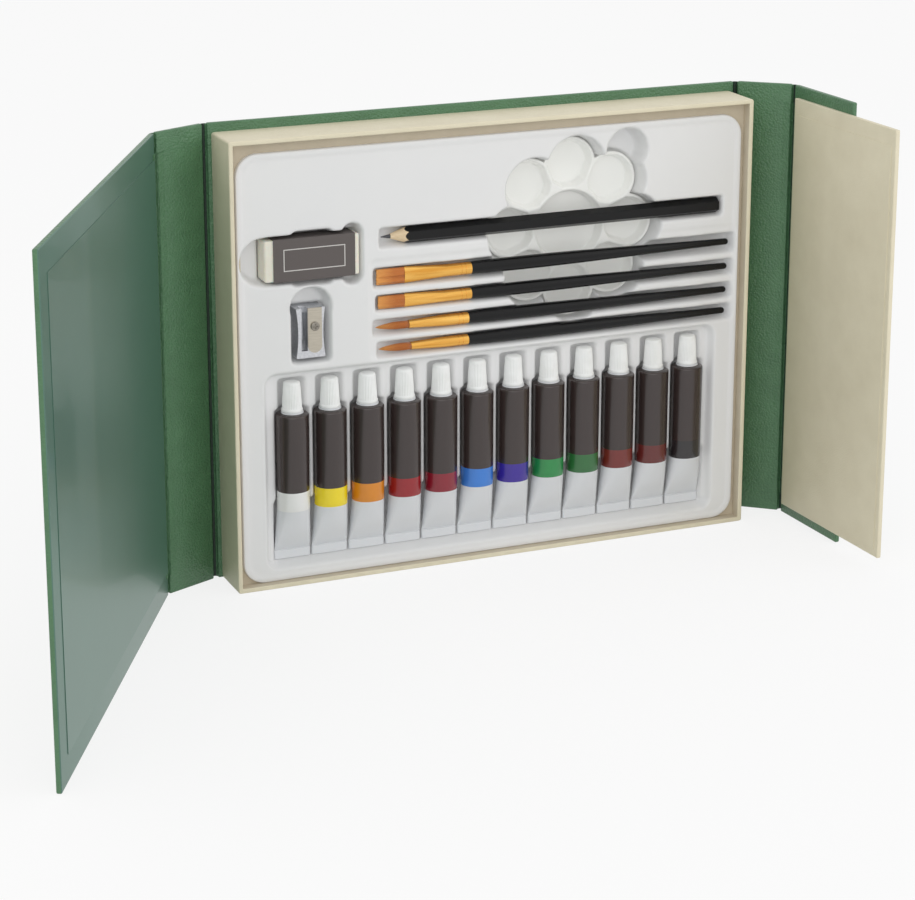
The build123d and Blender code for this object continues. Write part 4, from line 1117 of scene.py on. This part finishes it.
def build_palette():
    """Flower palette: wells pressed into a scalloped plate, from rings about its centre."""
    low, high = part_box("palette")
    centre_x, centre_z = (low.x + high.x) / 2, (low.z + high.z) / 2
    well_depth = (high.y - low.y) / MM - PALETTE_WALL
    around = 360
    rings = 96
    turns = np.arange(around) * 2 * pi / around
    outline = np.full(around, DISC_RADIUS)
    for turn in PETAL_TURNS:
        swing = PETAL_CIRCLE * np.sin(turns - turn)
        ahead = PETAL_CIRCLE * np.cos(turns - turn)
        reach = ahead + np.sqrt(np.maximum(PETAL_RADIUS**2 - swing**2, 0))
        outline = np.where((np.abs(swing) < PETAL_RADIUS) & (ahead > 0),
                           np.maximum(outline, reach), outline)
    radius = np.linspace(INNERMOST_RING, 1, rings)[:, None] * (outline[None, :] - GAP)
    across = radius * np.cos(turns)[None, :]
    up = radius * np.sin(turns)[None, :]

    depth = bowl(radius - CENTRE_WELL, well_depth)
    for turn in PETAL_TURNS:
        petal = np.hypot(across - PETAL_CIRCLE * cos(turn), up - PETAL_CIRCLE * sin(turn))
        aside = np.abs(across * sin(turn) - up * cos(turn))
        ahead = across * cos(turn) + up * sin(turn)
        to_rib = ahead * sin(pi / PETALS) - aside * cos(pi / PETALS) - RIB
        well = np.maximum.reduce([petal - (PETAL_RADIUS - PETAL_BRIM),
                                  CENTRE_WELL + 2 * RIB - radius, -to_rib])
        depth = np.maximum(depth, bowl(well, well_depth))
    lip = np.clip((radius - (outline[None, :] - LIP_START)) / LIP_WIDTH, 0, 1)
    depth = depth + LIP_DROP * lip**2
    points = [
        (centre_x + x * MM, low.y + d * MM, centre_z + z * MM)
        for x, d, z in zip(across.ravel(), depth.ravel(), up.ravel())
    ]
    faces = ring_faces(rings, around)
    faces.append(tuple(range(around)))
    plate = new_piece("flower_palette", points, faces, palette_white)
    thicken(plate, "wall", (PALETTE_WALL - WALL_THINNER) * MM)
    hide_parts("palette")
    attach(plate, "palette")


# Tubes: heights of the label's colour band above the floor, then the sizes of the tube
BAND_LOW = 36.9 * MM
BAND_HIGH = 46.2 * MM
LABEL_ON_SHOULDER = 1.02
CRIMP_BACK = 4.0
CRIMP_HALF_DEPTH = 0.7
CRIMP_NARROWS = 0.98
WEDGE_HALF_WIDTH = 8.05
WEDGE_HALF_DEPTH = 7.55
WEDGE_FULLNESS = 0.82
BODY_HALF_WIDTH = 8.0
BODY_SWELL = 0.4
BODY_BACK = 0.4
BODY_END = 0.5
PINCH = 0.25
DENT = 0.1
DENT_RUN = 9
DENTED = (16, 80)
SHOULDER_HEIGHT = 1.9

# Rows of the folded crimp: rise, half thickness and share of the full width
CRIMP = ((0.0, 0.8, 1.0), (0.15, 1.1, 1.0), (4.3, 1.15, 1.0), (4.5, 0.9, 0.995),
         (4.55, 0.5, 0.99), (4.8, 0.5, 0.985), (5.0, 0.7, 0.98))

# Rows of the shoulder and the nozzle: radius, and rise from the shoulder
SHOULDER = ((7.95, 0.0), (7.8, 0.35), (7.45, 0.6), (6.0, 0.95), (5.6, 1.0), (5.5, 1.05),
            (5.4, 1.75), (5.0, 1.85), (3.2, 1.9), (3.2, 9.5), (2.6, 9.6), (0.5, 9.6))


def stadium(half_width, half_depth, around):
    """Points of a flat-sided oval, evenly spaced round it by angle."""
    straight = max(half_width - half_depth, 0)
    points = []
    for index in range(around):
        turn = 2 * pi * index / around
        x, y = cos(turn), sin(turn)
        points.append((straight * np.clip(1.6 * x, -1, 1) + half_depth * x, half_depth * y))
    return points


def tube_rows(foot, crimp_half, axis_y, shoulder):
    """Rows up a tube: height, half width, half depth, middle and pinch of its flat sides."""
    crimp_y = axis_y + CRIMP_BACK * MM
    wedge_start = crimp_half * CRIMP_NARROWS
    rows = []
    for rise, thick, wide in CRIMP:
        rows.append((foot + rise * MM, crimp_half * wide, thick * MM, crimp_y, 0.0))
    for share in np.linspace(0.03, 1, 26):
        z = (CRIMP_TOP + share * (WEDGE_TOP - CRIMP_TOP)) * MM
        swell = share**WEDGE_FULLNESS
        half_depth = (CRIMP_HALF_DEPTH + swell * (WEDGE_HALF_DEPTH - CRIMP_HALF_DEPTH)) * MM
        half_width = wedge_start + share * (WEDGE_HALF_WIDTH * MM - wedge_start)
        y = crimp_y + swell * (axis_y + BODY_BACK * MM - crimp_y)
        rows.append((z, half_width, half_depth, y, PINCH * (1 - share)))
    for share in np.linspace(0.06, 1, 14):
        z = WEDGE_TOP * MM + share * (shoulder - BODY_END * MM - WEDGE_TOP * MM)
        half_depth = (WEDGE_HALF_DEPTH + share * BODY_SWELL) * MM
        y = axis_y + BODY_BACK * MM * (1 - share)
        rows.append((z, BODY_HALF_WIDTH * MM, half_depth, y, 0.0))
    for radius, rise in SHOULDER:
        rows.append((shoulder + rise * MM, radius * MM, radius * MM, axis_y, 0.0))
    return rows


def build_tube(number):
    """A tube from its crimped, folded end up to the shoulder and nozzle."""
    low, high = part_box(f"tube_{number:02d}")
    cap_low, cap_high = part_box(f"cap_{number:02d}")
    centre_x = (low.x + high.x) / 2
    shoulder = cap_low.z - SHOULDER_HEIGHT * MM
    rows = tube_rows(low.z, (high.x - low.x) / 2, (cap_low.y + cap_high.y) / 2, shoulder)
    around = 88
    rng = np.random.default_rng(40 + number)
    phase, size, twist = rng.uniform(-1, 1, 3)
    points = []
    for z, half_width, half_depth, y, pinch in rows:
        height = z / MM
        dent = DENT * sin(height / DENT_RUN + 3 * phase) * size * within(height, *DENTED)
        for index, (px, py) in enumerate(stadium(half_width, half_depth, around)):
            turn = 2 * pi * index / around
            ripple = dent * cos(2 * turn + twist * 3) * MM
            hollow = pinch * max(0.0, abs(sin(turn)) - 0.4) * MM * (-1 if py < 0 else 1)
            points.append((centre_x + px + ripple * cos(turn),
                           y + py + ripple * sin(turn) - hollow, z))
    coat = tube_coat(number, BAND_LOW, BAND_HIGH, shoulder + LABEL_ON_SHOULDER * MM)
    tube = new_piece(f"paint_tube_{number:02d}", points, capped_faces(len(rows), around), coat)
    sharpen(tube, 40)
    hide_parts(f"tube_{number:02d}")
    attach(tube, f"tube_{number:02d}")


# Cap: ribs round its side, radius of its top, and how much slimmer than its solid it is
CAP_RIBS = 36
CAP_RIB_HALF = 0.1
CAP_TOP = 4.1
CAP_SLIMMER = 0.4
CAP_BORE = 4.0


def cap_rows(base, height):
    """Rows up a cap: radius, rise and share of the ribs."""
    rows = [(CAP_BORE, 0.0, 0), (CAP_BORE, 0.05, 0), (base - 0.15, 0.0, 0), (base, 0.15, 0),
            (base, 1.2, 0), (base - 0.25, 1.45, 0.3), (base - 0.3, 1.8, 1)]
    for share in np.linspace(0.1, 1, 8):
        rows.append((base - 0.3 + share * (CAP_TOP - base + 0.3), 1.8 + share * (height - 3.0), 1))
    rows += [(CAP_TOP - 0.15, height - 0.7, 0.5), (CAP_TOP - 0.4, height - 0.3, 0.1),
             (CAP_TOP - 0.8, height - 0.08, 0), (CAP_TOP - 1.3, height, 0),
             (0.3, height - 0.05, 0)]
    return rows


def build_cap(number):
    """Ribbed screw cap with a plain skirt and a rounded top."""
    low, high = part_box(f"cap_{number:02d}")
    centre_x, centre_y = (low.x + high.x) / 2, (low.y + high.y) / 2
    around = 4 * CAP_RIBS
    rows = cap_rows((high.x - low.x) / 2 / MM - CAP_SLIMMER, (high.z - low.z) / MM)
    points = []
    for radius, rise, ribbed in rows:
        for index in range(around):
            turn = 2 * pi * index / around
            rib = CAP_RIB_HALF * ribbed * (cos(CAP_RIBS * turn) - 1)
            r = (radius + rib) * MM
            points.append((centre_x + r * cos(turn), centre_y + r * sin(turn), low.z + rise * MM))
    cap = new_piece(f"screw_cap_{number:02d}", points, capped_faces(len(rows), around), cap_white)
    sharpen(cap)
    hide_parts(f"cap_{number:02d}")
    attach(cap, f"cap_{number:02d}")


# Brush hair: its half sizes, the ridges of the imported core, and the single hairs over it
FLAT_HALF = 1.15 * MM
ROUND_HALF = 1.6 * MM
FERRULE_WALL = 0.35 * MM
RIDGE = 0.09
RIDGE_ACROSS = 0.6
CORE_REACH = 0.98
FRAYED = (-0.5 * MM, 0.35 * MM)
HAIRS = 110
HAIR_SIDES = 3
HAIR_RADIUS = 0.085 * MM
HAIR_TAPER = 0.75
HAIR_REACH = (0.86, 1.0)
HAIR_SLIP = 0.03
HAIR_OUT_WIDE = 1.02
HAIR_OUT_THICK = 1.05


def girth(share, is_flat):
    """Width and thickness of a tuft at a share of its length, where less than nought is inside."""
    if share < 0:
        return 0.9, 0.9
    if is_flat:
        return 1 + 0.03 * sin(pi * share), 1 - 0.72 * share**1.3
    swell = (1 + 0.12 * sin(pi * min(1, share * 1.4))) * (1 - share**3) ** 0.7
    return max(swell, 0.1), max(swell, 0.1)


def build_hair(name, is_flat):
    """A brush's hair: a packed core of fine ridges with single hairs lying over it."""
    low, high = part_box(f"{name}_hair")
    ferrule_low, ferrule_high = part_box(f"{name}_ferrule")
    centre_y, centre_z = (low.y + high.y) / 2, (low.z + high.z) / 2
    mouth = ferrule_low.x
    length = mouth - low.x
    half_thick = FLAT_HALF if is_flat else ROUND_HALF
    half_wide = (ferrule_high.z - ferrule_low.z) / 2 - FERRULE_WALL if is_flat else ROUND_HALF
    wide_power, thick_power = (0.55, 0.8) if is_flat else (1.0, 1.0)
    rng = np.random.default_rng(len(name))
    around = 132
    ridges = 1 + RIDGE * rng.uniform(-1, 1, around)
    uneven = rng.uniform(*FRAYED, around)
    points = []
    shares = np.concatenate([[-0.1], np.linspace(0, 1, 16)])
    for share in shares:
        wide, thick = girth(share, is_flat)
        for index in range(around):
            turn = 2 * pi * index / around
            z = half_wide * wide * np.sign(cos(turn)) * abs(cos(turn)) ** wide_power
            y = half_thick * thick * np.sign(sin(turn)) * abs(sin(turn)) ** thick_power
            frayed = uneven[index] * max(share, 0) ** 6
            points.append((mouth - share * length * CORE_REACH + frayed,
                           centre_y + y * ridges[index],
                           centre_z + z * (1 + (ridges[index] - 1) * RIDGE_ACROSS)))
    faces = capped_faces(len(shares), around)

    for _ in range(HAIRS):
        turn = rng.uniform(0, 2 * pi)
        reach = rng.uniform(*HAIR_REACH)
        slip = rng.uniform(-HAIR_SLIP, HAIR_SLIP)
        first = len(points)
        steps = np.linspace(0.0, reach, 7)
        for step in steps:
            wide, thick = girth(step, is_flat)
            z = half_wide * wide * cos(turn + slip * step) * HAIR_OUT_WIDE
            y = half_thick * thick * sin(turn + slip * step) * HAIR_OUT_THICK
            radius = HAIR_RADIUS * (1 - HAIR_TAPER * step)
            for side in range(HAIR_SIDES):
                spin = 2 * pi * side / HAIR_SIDES
                points.append((mouth - step * length, centre_y + y + radius * sin(spin),
                               centre_z + z + radius * cos(spin)))
        for face in capped_faces(len(steps), HAIR_SIDES):
            faces.append(tuple(first + index for index in face))
    tuft = new_piece(f"{name}_tuft", points, faces, brush_hair(low.x, mouth))
    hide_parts(f"{name}_hair")
    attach(tuft, name)


# Sharpened cone: its length and how steeply its faces look towards the point
CONE_LENGTH = 14 * MM
CONE_SLOPE = (-0.9, -0.1)


def repaint(node, *materials):
    """Gives a CAD node these materials in place of its own."""
    data = nodes[node].data
    data.materials.clear()
    for material in materials:
        data.materials.append(material)


def paint_pencil():
    """Black barrel with bare wood on the sharpened cone."""
    repaint("pencil_barrel", pencil_black, cedar)
    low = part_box("pencil_barrel")[0].x
    for face in nodes["pencil_barrel"].data.polygons:
        near_point = face.center.x < low + CONE_LENGTH
        slopes = CONE_SLOPE[0] < face.normal.x < CONE_SLOPE[1]
        face.material_index = 1 if near_point and slopes else 0
    repaint("pencil_lead", lead_grey)


def build_stage():
    """Pale floor that shows white to the camera and keeps a soft shadow."""
    material = bpy.data.materials.new("studio_floor")
    material.use_nodes = True
    tree = material.node_tree
    tree.nodes.clear()
    rays = add_node(tree, "ShaderNodeLightPath")
    matt = add_node(tree, "ShaderNodeBsdfDiffuse", {"Color": linear(FLOOR_WHITE)})
    white = add_node(tree, "ShaderNodeEmission", {"Color": PURE_WHITE, "Strength": 1.0})
    direct = add_node(tree, "ShaderNodeMath", {"operation": "MAXIMUM"},
                      {0: rays.outputs["Is Camera Ray"], 1: rays.outputs["Is Glossy Ray"]})
    seen = add_node(tree, "ShaderNodeMath", {"operation": "MULTIPLY", 1: FLOOR_WHITENING},
                    {0: direct.outputs[0]})
    mixed = add_node(tree, "ShaderNodeMixShader",
                     links={0: seen.outputs[0], 1: matt.outputs[0], 2: white.outputs[0]})
    add_node(tree, "ShaderNodeOutputMaterial", links={"Surface": mixed.outputs[0]})
    mesh = bpy.data.meshes.new("studio_floor")
    corners = [(x * FLOOR_REACH, y * FLOOR_REACH, 0) for x, y in ((-1, -1), (1, -1), (1, 1), (-1, 1))]
    mesh.from_pydata(corners, [], [(0, 1, 2, 3)])
    mesh.materials.append(material)
    floor = bpy.data.objects.new("studio_floor", mesh)
    floor.location.z = -FLOOR_DROP
    bpy.context.scene.collection.objects.link(floor)


def build_world():
    """Even studio surround, white to the camera and in reflections."""
    world = bpy.data.worlds.new("studio")
    bpy.context.scene.world = world
    world.use_nodes = True
    tree = world.node_tree
    tree.nodes.clear()
    rays = add_node(tree, "ShaderNodeLightPath")
    shone = add_node(tree, "ShaderNodeMath", {"operation": "MAXIMUM"},
                     {0: rays.outputs["Is Glossy Ray"], 1: rays.outputs["Is Transmission Ray"]})
    direct = add_node(tree, "ShaderNodeMath", {"operation": "MAXIMUM"},
                      {0: rays.outputs["Is Camera Ray"], 1: shone.outputs[0]})
    fill = add_node(tree, "ShaderNodeBackground", {"Color": PURE_WHITE, "Strength": WORLD_LIGHT})
    white = add_node(tree, "ShaderNodeBackground", {"Color": PURE_WHITE, "Strength": 1.0})
    mixed = add_node(tree, "ShaderNodeMixShader",
                     links={0: direct.outputs[0], 1: fill.outputs[0], 2: white.outputs[0]})
    add_node(tree, "ShaderNodeOutputWorld", links={"Surface": mixed.outputs[0]})


def add_light(name, place, size, power):
    """Soft box at a place, aimed at the middle of the tray."""
    light = bpy.data.lights.new(name, "AREA")
    light.size = size
    light.energy = power
    lamp = bpy.data.objects.new(name, light)
    lamp.location = place
    lamp.rotation_euler = (Vector(LIGHT_AIM) - Vector(place)).to_track_quat("-Z", "Y").to_euler()
    bpy.context.scene.collection.objects.link(lamp)


def build_camera():
    """Camera at the photograph's angle, a little above the set and to its left."""
    yaw, pitch = radians(CAMERA_YAW), radians(CAMERA_PITCH)
    level = Vector((-sin(yaw), cos(yaw), 0))
    right = Vector((cos(yaw), sin(yaw), 0))
    ahead = level * cos(pitch) - Vector((0, 0, 1)) * sin(pitch)
    above = right.cross(ahead)
    middle = Vector((0, tray_high.y, cover_height / 2))
    data = bpy.data.cameras.new("camera")
    data.sensor_width = SENSOR_WIDTH
    data.lens = SENSOR_WIDTH * FOCAL_PIXELS / PICTURE_WIDTH
    data.shift_y = PICTURE_SHIFT
    camera = bpy.data.objects.new("camera", data)
    place = middle - ahead * CAMERA_DISTANCE + right * CAMERA_RIGHT + above * CAMERA_UP
    turn = Matrix((right, above, -ahead)).transposed().to_4x4()
    camera.matrix_world = Matrix.Translation(place) @ turn
    bpy.context.scene.collection.objects.link(camera)
    bpy.context.scene.camera = camera


build_cover()
build_closing_panel()
build_tray_walls()
build_insert()
build_palette()
for tube_number in range(1, 13):
    build_tube(tube_number)
    build_cap(tube_number)
for brush, flat in BRUSHES:
    build_hair(brush, flat)
    repaint(f"{brush}_ferrule", gold)
    repaint(f"{brush}_handle", handle_black)
paint_pencil()
repaint("eraser_rubber", vinyl)
repaint("eraser_sleeve", printed_card(*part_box("eraser_sleeve")))
repaint("sharpener_body", magnesium)
repaint("sharpener_blade", blade_steel)
repaint("sharpener_screw", screw_steel)
repaint("tray_floor", cream)
repaint("left_flap_liner", lining)
repaint("flap_magnets", screw_steel)

build_stage()
build_world()
build_camera()
for lamp_settings in LIGHTS:
    add_light(*lamp_settings)
bpy.context.scene.view_settings.view_transform = "Standard"
